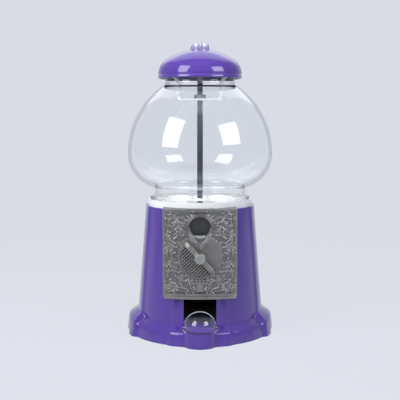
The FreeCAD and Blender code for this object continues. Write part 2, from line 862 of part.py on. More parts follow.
def make_globe_clamp():
    # A strap bent to a U, with its two ends hooked over the rim of the globe
    hook_z = neck_top_z
    inner = [
        (clamp_bar_half - clamp_thickness, clamp_top_z),
        (clamp_arm_half - clamp_thickness, clamp_arm_z),
        (clamp_hook_half - clamp_thickness, hook_z - clamp_thickness),
        (clamp_hook_half - clamp_thickness, hook_z + clamp_thickness),
    ]
    outer = [
        (clamp_hook_reach, hook_z + clamp_thickness),
        (clamp_hook_reach, hook_z),
        (clamp_hook_half, hook_z),
        (clamp_hook_half, hook_z - 2.0 * clamp_thickness),
        (clamp_arm_half, clamp_arm_z),
        (clamp_bar_half, clamp_bar_z),
    ]
    half = inner + outer
    points = [vec(x, -clamp_width / 2.0, z) for x, z in half]
    points += [vec(-x, -clamp_width / 2.0, z) for x, z in reversed(half)]
    strap = polygon(points).extrude(vec(0, clamp_width, 0))
    return strap.cut(rod_along_z(rod_r + clamp_hole_gap, clamp_bar_z - past, clamp_top_z + past))


def lid_arcs(inset):
    shoulder_cx = lid_r - lid_shoulder_arc_r
    dx, dz = shoulder_cx, lid_band_z - lid_crown_z
    span = lid_crown_arc_r - lid_shoulder_arc_r
    crown_r = lid_crown_arc_r - inset
    shoulder_r_here = lid_shoulder_arc_r - inset
    meet_angle = math.atan2(dz, dx)
    meet = vec(crown_r * dx / span, 0, lid_crown_z + crown_r * dz / span)
    hole = rod_r + lid_hole_gap
    top = vec(hole, 0, lid_crown_z + math.sqrt(crown_r ** 2 - hole ** 2))
    crown_angle = (meet_angle + math.pi / 2.0) / 2.0
    crown_mid = vec(crown_r * math.cos(crown_angle), 0, lid_crown_z + crown_r * math.sin(crown_angle))
    shoulder_mid = vec(
        shoulder_cx + shoulder_r_here * math.cos(meet_angle / 2.0),
        0,
        lid_band_z + shoulder_r_here * math.sin(meet_angle / 2.0))
    side = vec(lid_r - inset, 0, lid_band_z)
    return top, crown_mid, meet, shoulder_mid, side


def make_lid():
    top, crown_mid, meet, shoulder_mid, side = lid_arcs(0.0)
    top_in, crown_mid_in, meet_in, shoulder_mid_in, side_in = lid_arcs(lid_wall)
    rim_out = vec(lid_r, 0, lid_rim_z)
    rim_in = vec(lid_r - lid_wall, 0, lid_rim_z)
    shell = turned(face_of([
        arc(top, crown_mid, meet),
        arc(meet, shoulder_mid, side),
        line(side, rim_out),
        line(rim_out, rim_in),
        line(rim_in, side_in),
        arc(side_in, shoulder_mid_in, meet_in),
        arc(meet_in, crown_mid_in, top_in),
        line(top_in, top),
    ]))
    # A rib under the dome stands on the rim of the globe
    rib_in = clamp_hook_reach + lid_rib_gap
    rib_top = meet_in.z + lap
    rib = turned_polygon([
        (rib_in, neck_top_z), (rib_in + lid_rib_width, neck_top_z),
        (rib_in + lid_rib_width, rib_top - lid_rib_slope), (rib_in, rib_top)])
    return fused([shell, rib])


def make_lid_knob():
    low = lid_top_z - knob_skirt
    knob = rod_along_z(knob_r, low, knob_top_z - knob_bevel)
    bevel = Part.makeCone(knob_r, knob_r - knob_bevel, knob_bevel, vec(0, 0, knob_top_z - knob_bevel))
    knob = fused([knob, bevel])
    cuts = [Part.makeSphere(lid_crown_arc_r + knob_seat_gap, vec(0, 0, lid_crown_z))]
    cuts.append(rod_along_z(rod_r + running_fit, low - past, rod_top_z + knob_bore_gap))
    for k in range(knob_flutes):
        place = on_plan(knob_r + knob_flute_out, 360.0 * k / knob_flutes, 0.0)
        cuts.append(rod_along_z(knob_flute_r, low - past, knob_top_z + past, place.x, place.y))
    return cut_all(knob, cuts)


def plate_box(inset, back_y):
    return block(
        -plate_half_width + inset, plate_half_width - inset,
        plate_front_y + inset, back_y,
        plate_bottom_z + inset, plate_top_z - inset)


def bowed_bar(z0, z1, bow):
    # A bar along the foot of the plate whose front edge is an arc in plan
    left = vec(moulding_inset - plate_half_width, plate_front_y, z0)
    right = vec(plate_half_width - moulding_inset, plate_front_y, z0)
    back_left = vec(left.x, plate_back_y, z0)
    back_right = vec(right.x, plate_back_y, z0)
    front = arc(left, vec(0, plate_front_y - bow, z0), right)
    edges = [front, line(right, back_right), line(back_right, back_left), line(back_left, left)]
    return face_of(edges).extrude(vec(0, 0, z1 - z0))


def teardrop(r, point_z, y0, y1):
    # A disc with two straight sides that meet at a point below it
    distance = coin_z - point_z
    lean = math.asin(r / distance)
    tx, tz = r * math.cos(lean), coin_z - r * math.sin(lean)
    corners = [vec(-tx, y0, tz), vec(tx, y0, tz), vec(0, y0, point_z)]
    point = polygon(corners).extrude(vec(0, y1 - y0, 0))
    return fused([rod_along_y(r, y0, y1, 0.0, coin_z), point])


def make_face_plate():
    # The side walls start deep inside the body and are trimmed back to its outer form
    behind = -body_radius(plate_bottom_z) / 2.0
    shell = plate_box(0.0, behind).cut(plate_box(plate_thickness, behind + past))
    bosses = [rod_along_y(plate_boss_r, plate_back_y - lap, behind, x, z) for x, z in plate_boss_places()]
    posts = [rod_along_y(post_r, plate_back_y - lap, backplate_y, x, z) for x, z in post_places()]
    trim = body_envelope(plate_seat_gap, plate_top_z + past)
    walls = fused([shell] + bosses).cut(trim)
    bezel_r = coin_window_r + bezel_width
    bezel = teardrop(bezel_r, coin_z - bezel_point_drop, plate_front_y - bezel_rise, plate_front_y)
    disc = rod_along_y(escutcheon_r, escutcheon_y, plate_front_y, 0.0, shaft_z)
    disc = disc.cut(rod_along_y(bezel_r, escutcheon_y - past, plate_front_y, 0.0, coin_z))
    lower = bowed_bar(plate_bottom_z - moulding_height, plate_bottom_z, moulding_bow)
    upper = bowed_bar(plate_bottom_z, plate_bottom_z + moulding_height, moulding_bow - moulding_step)
    plate = fused([walls, bezel, disc, lower, upper] + posts)
    cuts = [rod_along_y(coin_window_r, escutcheon_y - past, plate_back_y + past, 0.0, coin_z)]
    cuts.append(rod_along_y(shaft_r + bush_wall, escutcheon_y - past, plate_back_y + past, 0.0, shaft_z))
    slot_z = plate_top_z - slot_drop
    cuts.append(block(
        -slot_half_width, slot_half_width, plate_front_y - past, plate_front_y + slot_depth,
        slot_z - slot_height, slot_z))
    for x, z in plate_boss_places():
        cuts.append(rod_along_y(small_screw_r, plate_back_y + plate_hole_depth, 0.0, x, z))
    for x, z in post_places():
        cuts.append(rod_along_y(small_screw_r, plate_back_y + past, backplate_y + past, x, z))
    return cut_all(plate, cuts)


def plate_screw_seat(x, z):
    return -math.sqrt((body_radius(z) - wall) ** 2 - (abs(x) + plate_boss_r) ** 2) + plate_boss_proud


def make_plate_screws():
    screws = []
    for x, z in plate_boss_places():
        seat = plate_screw_seat(x, z)
        deep = -math.sqrt(body_radius(z) ** 2 - x ** 2)
        screws.append(screw_forward(x, z, seat, seat - deep + small_screw_length / 2.0))
    return Part.makeCompound(screws)


def make_mech_backplate():
    back = backplate_y + backplate_thickness
    half = backplate_half_width
    plate = block(-half, half, backplate_y, back, backplate_bottom_z, backplate_top_z)
    cuts = [rod_along_y(shaft_r + bush_wall, backplate_y - past, back + past, 0.0, shaft_z)]
    for x, z in post_places():
        cuts.append(rod_along_y(small_screw_r, backplate_y - past, back + past, x, z))
    for x, z in (gauge_pivot(), pawl_pivot()):
        cuts.append(rod_along_y(lever_pin_r, backplate_y - past, back + past, x, z))
        cuts.append(rod_along_y(3.0 * spring_wire, backplate_y - past, back + past, x, z - spring_leg))
    return cut_all(plate, cuts)


def make_backplate_screws():
    seat = backplate_y + backplate_thickness
    length = seat - plate_back_y - plate_hole_depth
    return Part.makeCompound([screw_forward(x, z, seat, length) for x, z in post_places()])


def bush(y0, y1):
    outside = rod_along_y(shaft_r + bush_wall, y0, y1, 0.0, shaft_z)
    return outside.cut(rod_along_y(shaft_r + running_fit, y0 - past, y1 + past, 0.0, shaft_z))


def make_front_bush():
    return bush(escutcheon_y, plate_back_y)


def make_rear_bush():
    middle = backplate_y + backplate_thickness / 2.0
    return bush(middle - bush_length / 2.0, middle + bush_length / 2.0)


def gauge_pivot():
    return gauge_pivot_x, shaft_z + gauge_pivot_rise


def pawl_pivot():
    return pawl_pivot_x, shaft_z - pawl_pivot_drop


def lever_pin(pivot, y0):
    x, z = pivot
    return rod_along_y(lever_pin_r, y0, backplate_y + backplate_thickness, x, z)


def make_gauge_pin():
    x, z = gauge_pivot()
    head_y = coin_wheel_y - screw_seat_gap
    head = rod_along_y(pin_head_r, head_y - pin_head_height, head_y, x, z)
    return fused([lever_pin(gauge_pivot(), head_y), head])


def make_pawl_pin():
    return lever_pin(pawl_pivot(), ratchet_y + pawl_gap)


def arm_between(a, b, r_a, r_b, y0, y1):
    # A flat lever: two discs joined by their common tangents
    (ax, az), (bx, bz) = a, b
    length = math.hypot(bx - ax, bz - az)
    heading = math.atan2(bz - az, bx - ax)
    lean = math.acos((r_a - r_b) / length)
    points = []
    for side in (1.0, -1.0):
        angle = heading + side * lean
        near = vec(ax + r_a * math.cos(angle), y0, az + r_a * math.sin(angle))
        far = vec(bx + r_b * math.cos(angle), y0, bz + r_b * math.sin(angle))
        points += [near, far] if side > 0 else [far, near]
    web = polygon(points).extrude(vec(0, y1 - y0, 0))
    return fused([web, rod_along_y(r_a, y0, y1, ax, az), rod_along_y(r_b, y0, y1, bx, bz)])


def lever_bore(pivot):
    x, z = pivot
    return rod_along_y(lever_pin_r + running_fit, plate_front_y, backplate_y, x, z)


def make_gauge_lever():
    tip = (gauge_tip_x, shaft_z + gauge_tip_rise)
    y0 = coin_wheel_y
    arm = arm_between(gauge_pivot(), tip, lever_boss_r, gauge_nose_r, y0, y0 + lever_thickness)
    return arm.cut(lever_bore(gauge_pivot()))


def make_stop_pawl():
    reach = ratchet_r + pawl_tip_gap + pawl_nose_r
    angle = math.radians(pawl_tip_deg)
    tip = (reach * math.cos(angle), shaft_z + reach * math.sin(angle))
    y0 = ratchet_y + pawl_gap
    arm = arm_between(pawl_pivot(), tip, lever_boss_r, pawl_nose_r, y0, y0 + lever_thickness)
    return arm.cut(lever_bore(pawl_pivot()))


def lever_spring(pivot, lever_back):
    # A torsion spring round the pin: a coil with one leg hooked through the back plate
    x, z = pivot
    end = backplate_y - spring_end_gap
    half = spring_wire / 2.0
    coil_r = lever_pin_r + spring_bore_gap + spring_wire
    coil = rod_along_y(coil_r, lever_back, end, x, z).cut(lever_bore(pivot))
    leg = block(x - half, x + half, end - spring_wire, end, z - spring_leg, z - coil_r + lap)
    hook = rod_along_y(half, end - spring_wire, backplate_y + spring_hook, x, z - spring_leg)
    return fused([coil, leg, hook])


def make_gauge_spring():
    return lever_spring(gauge_pivot(), coin_wheel_y + lever_thickness)


def make_pawl_spring():
    return lever_spring(pawl_pivot(), ratchet_y + pawl_gap + lever_thickness)


def make_handle_shaft():
    front_y = hub_front_y + hub_face
    shaft = rod_along_y(shaft_r, front_y, shaft_end_y, 0.0, shaft_z)
    return shaft.cut(rod_along_y(cap_stem_r, front_y - past, hub_front_y + cap_stem_length, 0.0, shaft_z))


def make_coin_wheel():
    y0, y1 = coin_wheel_y, coin_wheel_y + coin_wheel_thickness
    disc = rod_along_y(coin_wheel_r, y0, y1, 0.0, shaft_z)
    cuts = [rod_along_y(coin_pocket_r, y0 - past, y1 + past, 0.0, coin_z)]
    cuts.append(rod_along_y(shaft_r, y0 - past, y1 + past, 0.0, shaft_z))
    return cut_all(disc, cuts)


def make_ratchet_wheel():
    y0 = ratchet_y
    root = ratchet_r - ratchet_depth
    points = []
    for k in range(ratchet_teeth):
        a0 = 2.0 * math.pi * k / ratchet_teeth
        a1 = 2.0 * math.pi * (k + ratchet_slope_share) / ratchet_teeth
        points.append(vec(ratchet_r * math.sin(a0), y0, shaft_z + ratchet_r * math.cos(a0)))
        points.append(vec(root * math.sin(a1), y0, shaft_z + root * math.cos(a1)))
    wheel = polygon(points).extrude(vec(0, ratchet_thickness, 0))
    return wheel.cut(rod_along_y(shaft_r, y0 - past, y0 + ratchet_thickness + past, 0.0, shaft_z))


def make_drive_pinion():
    # Spur teeth with flanks that narrow to the tip, thin enough to run with the crown teeth
    y0 = pinion_y - pinion_width / 2.0
    root_r = pinion_pitch_r - tooth_height / 2.0 + pinion_root_gap
    tip_r = pinion_pitch_r + tooth_height / 2.0 - tip_clearance
    tooth = gear_module * math.pi * tooth_share
    half_root, half_tip = tooth * pinion_root_share, tooth * tooth_tip_share
    sunk_r = root_r - 2.0 * lap
    blank = rod_along_y(root_r, y0, y0 + pinion_width, 0.0, shaft_z)
    teeth = []
    for k in range(pinion_teeth):
        outline = [(-half_root, sunk_r), (half_root, sunk_r), (half_tip, tip_r), (-half_tip, tip_r)]
        fin = polygon([vec(x, y0, z) for x, z in outline]).extrude(vec(0, pinion_width, 0))
        fin.rotate(vec(0, 0, 0), vec(0, 1, 0), 360.0 * (k + 0.5) / pinion_teeth)
        fin.translate(vec(0, 0, shaft_z))
        teeth.append(fin)
    gear = fused([blank] + teeth)
    return gear.cut(rod_along_y(shaft_r, y0 - past, y0 + pinion_width + past, 0.0, shaft_z))


def make_shaft_clip():
    y0 = pinion_y + pinion_width / 2.0
    ring = rod_along_y(clip_r, y0, y0 + clip_thickness, 0.0, shaft_z)
    return ring.cut(rod_along_y(shaft_r, y0 - past, y0 + clip_thickness + past, 0.0, shaft_z))


def make_handle():
    y0, y1 = fan_front_y, handle_back_y
    fan = rod_along_y(fan_r, y0, y1, 0.0, 0.0)
    fan = fan.common(block(-fan_r, fan_r, y0, y1, -fan_r, fin_width / 2.0))
    fin_front = y0 - fin_height
    low, high = -fin_length / 2.0, fin_length / 2.0
    fin_outline = [(low, y1), (high, y1)]
    fin_outline += [(high, y0 - fin_corner), (high - fin_corner, fin_front)]
    fin_outline += [(low + fin_corner, fin_front), (low, y0 - fin_corner)]
    fin = polygon([vec(x, y, -fin_width / 2.0) for x, y in fin_outline]).extrude(vec(0, 0, fin_width))
    hub = rod_along_y(hub_r, hub_front_y, y1)
    handle = fused([fan, fin, hub])
    # The long side of the fin points to the upper left, with the fan below it
    handle.rotate(vec(0, 0, 0), vec(0, 1, 0), 180.0 - fin_deg)
    handle.translate(vec(0, 0, shaft_z))
    bore = rod_along_y(shaft_r, hub_front_y + hub_face, handle_back_y + past, 0.0, shaft_z)
    stem = rod_along_y(cap_stem_r, hub_front_y - past, hub_front_y + hub_face + past, 0.0, shaft_z)
    return cut_all(handle, [bore, stem])


def make_handle_cap():
    y0 = hub_front_y - cap_height
    cap_r = hub_r - cap_inset
    disc = rod_along_y(cap_r, y0 + cap_bevel, hub_front_y, 0.0, shaft_z)
    crown = Part.makeCone(cap_r - cap_bevel, cap_r, cap_bevel, vec(0, y0, shaft_z), vec(0, 1, 0))
    stem = rod_along_y(cap_stem_r, hub_front_y, hub_front_y + cap_stem_length, 0.0, shaft_z)
    return fused([disc, crown, stem])


def make_dispensing_wheel():
    disc = rod_along_z(wheel_r, wheel_bottom_z, wheel_top_z)
    cuts = [rod_along_z(boss_r + running_fit, wheel_bottom_z - past, wheel_top_z + past)]
    for k in range(pocket_count):
        place = on_plan(pocket_circle_r, 90.0 + 360.0 * k / pocket_count, 0.0)
        cuts.append(rod_along_z(pocket_r, wheel_bottom_z - past, wheel_top_z + past, place.x, place.y))
    wheel = cut_all(disc, cuts)
    pitch = gear_module * math.pi
    root, tip = pitch * tooth_share * crown_root_share, pitch * tooth_share * tooth_tip_share
    root_z = wheel_bottom_z + lap
    teeth = []
    for k in range(crown_teeth):
        outline = [(-tip, crown_tip_z), (tip, crown_tip_z), (root, root_z), (-root, root_z)]
        points = [vec(x, -crown_outer_r, z) for x, z in outline]
        tooth = polygon(points).extrude(vec(0, crown_outer_r - crown_inner_r, 0))
        tooth.rotate(vec(0, 0, 0), vec(0, 0, 1), 360.0 * k / crown_teeth)
        teeth.append(tooth)
    return fused([wheel] + teeth)


def make_bubble_door():
    # A quarter sphere with a short skirt, a lip along the front and an ear at each hinge pin
    centre = vec(0, cup_y, door_axis_z)
    inside_r = door_r - door_wall
    skirt_z = cup_height + door_rest_gap
    far = 2.0 * door_r
    upper_front = block(-far, far, cup_y - far, cup_y, door_axis_z, door_axis_z + far)
    lower_front = block(-far, far, cup_y - far, cup_y, skirt_z, door_axis_z)
    lip_front = block(-far, far, cup_y - far, cup_y - lug_r - door_lip_gap, skirt_z, door_axis_z)
    ball = Part.makeSphere(door_r, centre).common(upper_front)
    skirt = rod_along_z(door_r, skirt_z, door_axis_z, 0.0, cup_y).common(lower_front)
    lip = rod_along_z(door_r + door_flange, skirt_z, skirt_z + door_flange_height, 0.0, cup_y)
    shell = fused([ball, skirt, lip.common(lip_front)])
    hollow = fused([
        Part.makeSphere(inside_r, centre),
        rod_along_z(inside_r, skirt_z - past, door_axis_z, 0.0, cup_y)])
    shell = shell.cut(hollow)
    ears = []
    for side in (-1.0, 1.0):
        x0, x1 = sorted((side * (inside_r - lap), side * (door_r + door_ear_proud)))
        ears.append(rod_along_x(door_ear_r, x0, x1, cup_y, door_axis_z))
    door = fused([shell] + ears)
    return door.cut(rod_along_x(door_pin_r + running_fit, -far, far, cup_y, door_axis_z))


def make_door_pins():
    pins = []
    inner = door_r - door_wall - door_pin_reach
    outer = door_lug_start() + lug_width
    for side in (-1.0, 1.0):
        x0, x1 = sorted((side * inner, side * outer))
        pins.append(rod_along_x(door_pin_r, x0, x1, cup_y, door_axis_z))
    return Part.makeCompound(pins)


def chute_outline(grow):
    # Side view of the duct: intake at the top rear, floor and roof that slope to the front
    y0 = chute_front_y
    floor_front = chute_floor_front_z - grow
    roof_front = chute_roof_front_z + grow
    back = intake_back_y + grow
    front = intake_front_y - grow
    floor_back = floor_front + chute_floor_slope * (back - y0)
    roof_back = roof_front + chute_roof_slope * (front - y0)
    return [
        (y0, floor_front),
        (back, floor_back),
        (back, intake_top_z),
        (front, intake_top_z),
        (front, roof_back),
        (y0, roof_front),
    ]


def chute_solid(grow, half_width, stretch):
    points = []
    for y, z in chute_outline(grow):
        high = z + stretch if z == intake_top_z else z
        ahead = y - stretch if y == chute_front_y else y
        points.append(vec(-half_width, ahead, high))
    return polygon(points).extrude(vec(2.0 * half_width, 0, 0))


def make_chute():
    duct = chute_solid(chute_wall, chute_side, 0.0)
    tongue_half = outlet_half_width - door_gap
    tongue_front = chute_front_y - chute_tongue
    tongue_back = chute_front_y + chute_tongue
    low = chute_floor_front_z - chute_floor_slope * chute_tongue
    high = chute_floor_front_z + chute_floor_slope * chute_tongue
    tongue = polygon([
        vec(-tongue_half, tongue_front, low),
        vec(-tongue_half, tongue_back, high),
        vec(-tongue_half, tongue_back, high - chute_wall),
        vec(-tongue_half, tongue_front, low - chute_wall),
    ]).extrude(vec(2.0 * tongue_half, 0, 0))
    ears = []
    for x in chute_screw_xs():
        inner = math.copysign(chute_half_width + chute_wall / 2.0, x)
        outer = math.copysign(abs(x) + chute_ear / 2.0, x)
        x0, x1 = sorted((inner, outer))
        low = intake_top_z - chute_ear_thickness
        half = chute_ear / 2.0
        ears.append(block(x0, x1, drop_y - half, drop_y + half, low, intake_top_z))
    # A wedge on the roof sends coins off to one side
    base = chute_roof_front_z + chute_wall / 2.0
    deflector = polygon([
        vec(chute_wall - chute_side, chute_front_y, base),
        vec(chute_side - chute_wall, chute_front_y, base),
        vec(chute_side - chute_wall, chute_front_y, base + chute_wall + deflector_height),
    ]).extrude(vec(0, deflector_depth, 0))
    hollow = chute_solid(0.0, chute_half_width, chute_tongue)
    room = body_cavity(wall + chute_body_gap)
    chute = fused([duct.cut(hollow).common(room), deflector.common(room)] + ears)
    holes = []
    for x in chute_screw_xs():
        seat = intake_top_z - chute_ear_thickness
        holes.append(rod_along_z(small_screw_r, seat - past, intake_top_z + past, x, drop_y))
    return cut_all(fused([chute, tongue]), holes)


def make_chute_screws():
    seat = intake_top_z - chute_ear_thickness
    length = chute_ear_thickness + chute_screw_bite
    return Part.makeCompound([screw_up(x, drop_y, seat, length) for x in chute_screw_xs()])


makers = {
    "base_body": make_base_body,
    "bottom_cover": make_bottom_cover,
    "cover_screws": make_cover_screws,
    "coin_plug": make_coin_plug,
    "hopper": make_hopper,
    "hopper_screws": make_hopper_screws,
    "ball_guard": make_ball_guard,
    "guard_screw": make_guard_screw,
    "globe_gasket": make_globe_gasket,
    "globe": make_globe,
    "center_rod": make_center_rod,
    "rod_washer": make_rod_washer,
    "rod_nut": make_rod_nut,
    "globe_clamp": make_globe_clamp,
    "clamp_nut": make_clamp_nut,
    "lid": make_lid,
    "lid_knob": make_lid_knob,
    "face_plate": make_face_plate,
    "plate_screws": make_plate_screws,
    "mech_backplate": make_mech_backplate,
    "backplate_screws": make_backplate_screws,
    "front_bush": make_front_bush,
    "rear_bush": make_rear_bush,
    "gauge_pin": make_gauge_pin,
    "gauge_lever": make_gauge_lever,
    "gauge_spring": make_gauge_spring,
    "pawl_pin": make_pawl_pin,
    "stop_pawl": make_stop_pawl,
    "pawl_spring": make_pawl_spring,
    "handle_shaft": make_handle_shaft,
    "handle": make_handle,
    "handle_cap": make_handle_cap,
    "coin_wheel": make_coin_wheel,
    "ratchet_wheel": make_ratchet_wheel,
    "drive_pinion": make_drive_pinion,
    "shaft_clip": make_shaft_clip,
    "dispensing_wheel": make_dispensing_wheel,
    "chute": make_chute,
    "chute_screws": make_chute_screws,
    "bubble_door": make_bubble_door,
    "door_pins": make_door_pins,
}

os.makedirs("parts", exist_ok=True)
for node, maker in makers.items():
    shape = maker()
    shape.exportStep("parts/" + node + ".step")
    print(node, len(shape.Solids), shape.isValid(), round(shape.Volume / 1000.0, 2))
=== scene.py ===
import json
import math

import bmesh
import bpy
import numpy as np
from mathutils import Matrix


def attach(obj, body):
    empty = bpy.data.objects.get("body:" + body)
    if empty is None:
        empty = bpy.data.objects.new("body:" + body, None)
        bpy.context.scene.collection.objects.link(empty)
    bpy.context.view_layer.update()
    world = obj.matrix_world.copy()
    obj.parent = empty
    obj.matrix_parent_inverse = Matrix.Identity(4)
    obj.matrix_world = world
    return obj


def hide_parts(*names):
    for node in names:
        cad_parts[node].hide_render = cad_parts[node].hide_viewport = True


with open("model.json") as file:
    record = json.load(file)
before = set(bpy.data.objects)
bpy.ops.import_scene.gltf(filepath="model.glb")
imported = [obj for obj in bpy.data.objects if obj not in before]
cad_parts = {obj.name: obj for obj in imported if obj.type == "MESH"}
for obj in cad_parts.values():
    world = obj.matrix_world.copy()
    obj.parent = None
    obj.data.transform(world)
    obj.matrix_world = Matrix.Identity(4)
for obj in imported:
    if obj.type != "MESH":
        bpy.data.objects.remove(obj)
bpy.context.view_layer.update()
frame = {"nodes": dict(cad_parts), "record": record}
nodes = frame["nodes"]
mm = 0.001
weldReach = 2e-6
tiny = 1e-6
bevelSteps = 3
print("stage: frame loaded,", len(nodes), "nodes")

# studio: camera, soft lamps and a pale sweep; a lamp is for light, for mirrors or for both
studio = {
    "cameraPlace": (0.0, -1.0902, 0.28635), "cameraTilt": 84.16, "focalPixels": 818.9, "imageWidth": 400,
    "sensorWidth": 36.0,
    "lamps": {
        "softboxLeft": {"place": (-0.80, -0.74, 0.80), "size": (0.58, 0.82), "power": 9.5, "for": "both"},
        "softboxRight": {"place": (0.86, -0.70, 0.76), "size": (0.64, 0.58), "power": 7.2, "for": "mirrors"},
        "rightFill": {"place": (0.86, -0.70, 0.76), "size": (0.64, 0.58), "power": 2.6, "for": "light"},
        "ceiling": {"place": (0.0, 1.1, 1.6), "size": (2.4, 1.8), "power": 10.0, "for": "mirrors"},
        "topFill": {"place": (0.0, -0.35, 0.80), "size": (0.5, 0.4), "power": 3.1, "for": "light"},
        "frontFill": {"place": (0.0, -1.5, 0.85), "size": (1.0, 0.7), "power": 4.8, "for": "light"},
    },
    "lampTarget": (0.0, 0.0, 0.2),
    "worldColour": (0.80, 0.86, 0.95), "worldStrength": 0.30,
    "worldLevels": {"Is Glossy Ray": 0.58, "Is Transmission Ray": 0.88, "Is Camera Ray": 0.88},
    "sweepReach": 2.4, "sweepRise": 1.8, "sweepBend": 0.7, "sweepHalf": 3.0,
    "bendRows": 24, "sweepColumns": 13,
}


def setInputs(node, values):
    for socket, value in values.items():
        node.inputs[socket].default_value = value


def addCamera(s):
    camera = bpy.data.objects.new("camera", bpy.data.cameras.new("camera"))
    camera.data.sensor_width = s["sensorWidth"]
    camera.data.lens = s["focalPixels"] / s["imageWidth"] * s["sensorWidth"]
    camera.location = s["cameraPlace"]
    camera.rotation_euler = (math.radians(s["cameraTilt"]), 0.0, 0.0)
    bpy.context.scene.collection.objects.link(camera)
    bpy.context.scene.camera = camera


def addLamps(s):
    for name, look in s["lamps"].items():
        data = bpy.data.lights.new(name, "AREA")
        data.shape = "RECTANGLE"
        data.size, data.size_y = look["size"]
        data.energy = look["power"]
        lamp = bpy.data.objects.new(name, data)
        bpy.context.scene.collection.objects.link(lamp)
        lamp.location = look["place"]
        lamp.visible_glossy = lamp.visible_transmission = look["for"] != "light"
        lamp.visible_diffuse = look["for"] != "mirrors"
        aim = np.subtract(s["lampTarget"], look["place"])
        pitch = math.pi / 2 + math.atan2(aim[2], math.hypot(aim[0], aim[1]))
        lamp.rotation_euler = (pitch, 0.0, math.atan2(-aim[0], aim[1]))


def addWorld(s):
    # a dim world for light, a brighter one in mirrors and a pale one for the eye and through glass
    world = bpy.data.worlds.new("studioWorld")
    world.use_nodes = True
    bpy.context.scene.world = world
    tree = world.node_tree
    back = tree.nodes["Background"]
    setInputs(back, {"Color": (*s["worldColour"], 1.0)})
    path = tree.nodes.new("ShaderNodeLightPath")
    lower = None
    for ray, strength in s["worldLevels"].items():
        level = tree.nodes.new("ShaderNodeMapRange")
        setInputs(level, {"To Min": s["worldStrength"], "To Max": strength})
        if lower:
            tree.links.new(lower, level.inputs["To Min"])
        tree.links.new(path.outputs[ray], level.inputs["Value"])
        lower = level.outputs["Result"]
    tree.links.new(lower, back.inputs["Strength"])
    bpy.context.scene.view_settings.view_transform = "Standard"


def meshPiece(name, points, faces):
    data = bpy.data.meshes.new(name)
    data.from_pydata(points.reshape(-1, 3), [], faces.tolist())
    data.polygons.foreach_set("use_smooth", np.ones(len(faces), bool))
    data.update()
    piece = bpy.data.objects.new(name, data)
    bpy.context.scene.collection.objects.link(piece)
    return piece


def gridFaces(rows, cols, wrapRows=False, wrapCols=False):
    # each face joins (i, j), (i, j+1), (i+1, j+1) and (i+1, j) of a grid, wrapped where it closes on itself
    i, j = np.meshgrid(np.arange(rows - (not wrapRows)), np.arange(cols - (not wrapCols)), indexing="ij")
    below, right = (i + 1) % rows, (j + 1) % cols
    corners = [i * cols + j, i * cols + right, below * cols + right, below * cols + j]
    return np.stack(corners, -1).reshape(-1, 4)


def spread(x, y, z):
    return np.stack(np.broadcast_arrays(x, y, z), -1)


def revolve(name, profile, segments):
    # a closed profile of (radius, height) in mm carried round the Z axis: x = r cos a, y = r sin a, z = h
    angle = np.linspace(0.0, 2 * np.pi, segments, endpoint=False)
    r, h = profile[:, :1], profile[:, 1:]
    points = spread(r * np.cos(angle), r * np.sin(angle), h) * mm
    return meshPiece(name, points, gridFaces(len(profile), segments, True, True))


def arcPoints(centre, radius, startDeg, endDeg, count):
    # points at centre + radius (cos a, sin a) for evenly spaced angles
    a = np.radians(np.linspace(startDeg, endDeg, count))
    return np.stack([centre[0] + radius * np.cos(a), centre[1] + radius * np.sin(a)], -1)


def makeSweep(s):
    # floor strip along Y that turns up in a quarter circle and goes on as a wall
    bend, reach, rise = s["sweepBend"], s["sweepReach"], s["sweepRise"]
    turn = np.radians(np.linspace(-90, 0, s["bendRows"]))
    y = np.concatenate([[-reach], reach - bend + bend * np.cos(turn), [reach]])
    z = np.concatenate([[0.0], bend + bend * np.sin(turn), [bend + rise]])
    x = np.linspace(-s["sweepHalf"], s["sweepHalf"], s["sweepColumns"])
    sweep = meshPiece("studioSweep", spread(x, y[:, None], z[:, None]), gridFaces(len(y), len(x)))
    return sweep


addCamera(studio)
addLamps(studio)
addWorld(studio)
sweep = makeSweep(studio)
print("stage: studio")

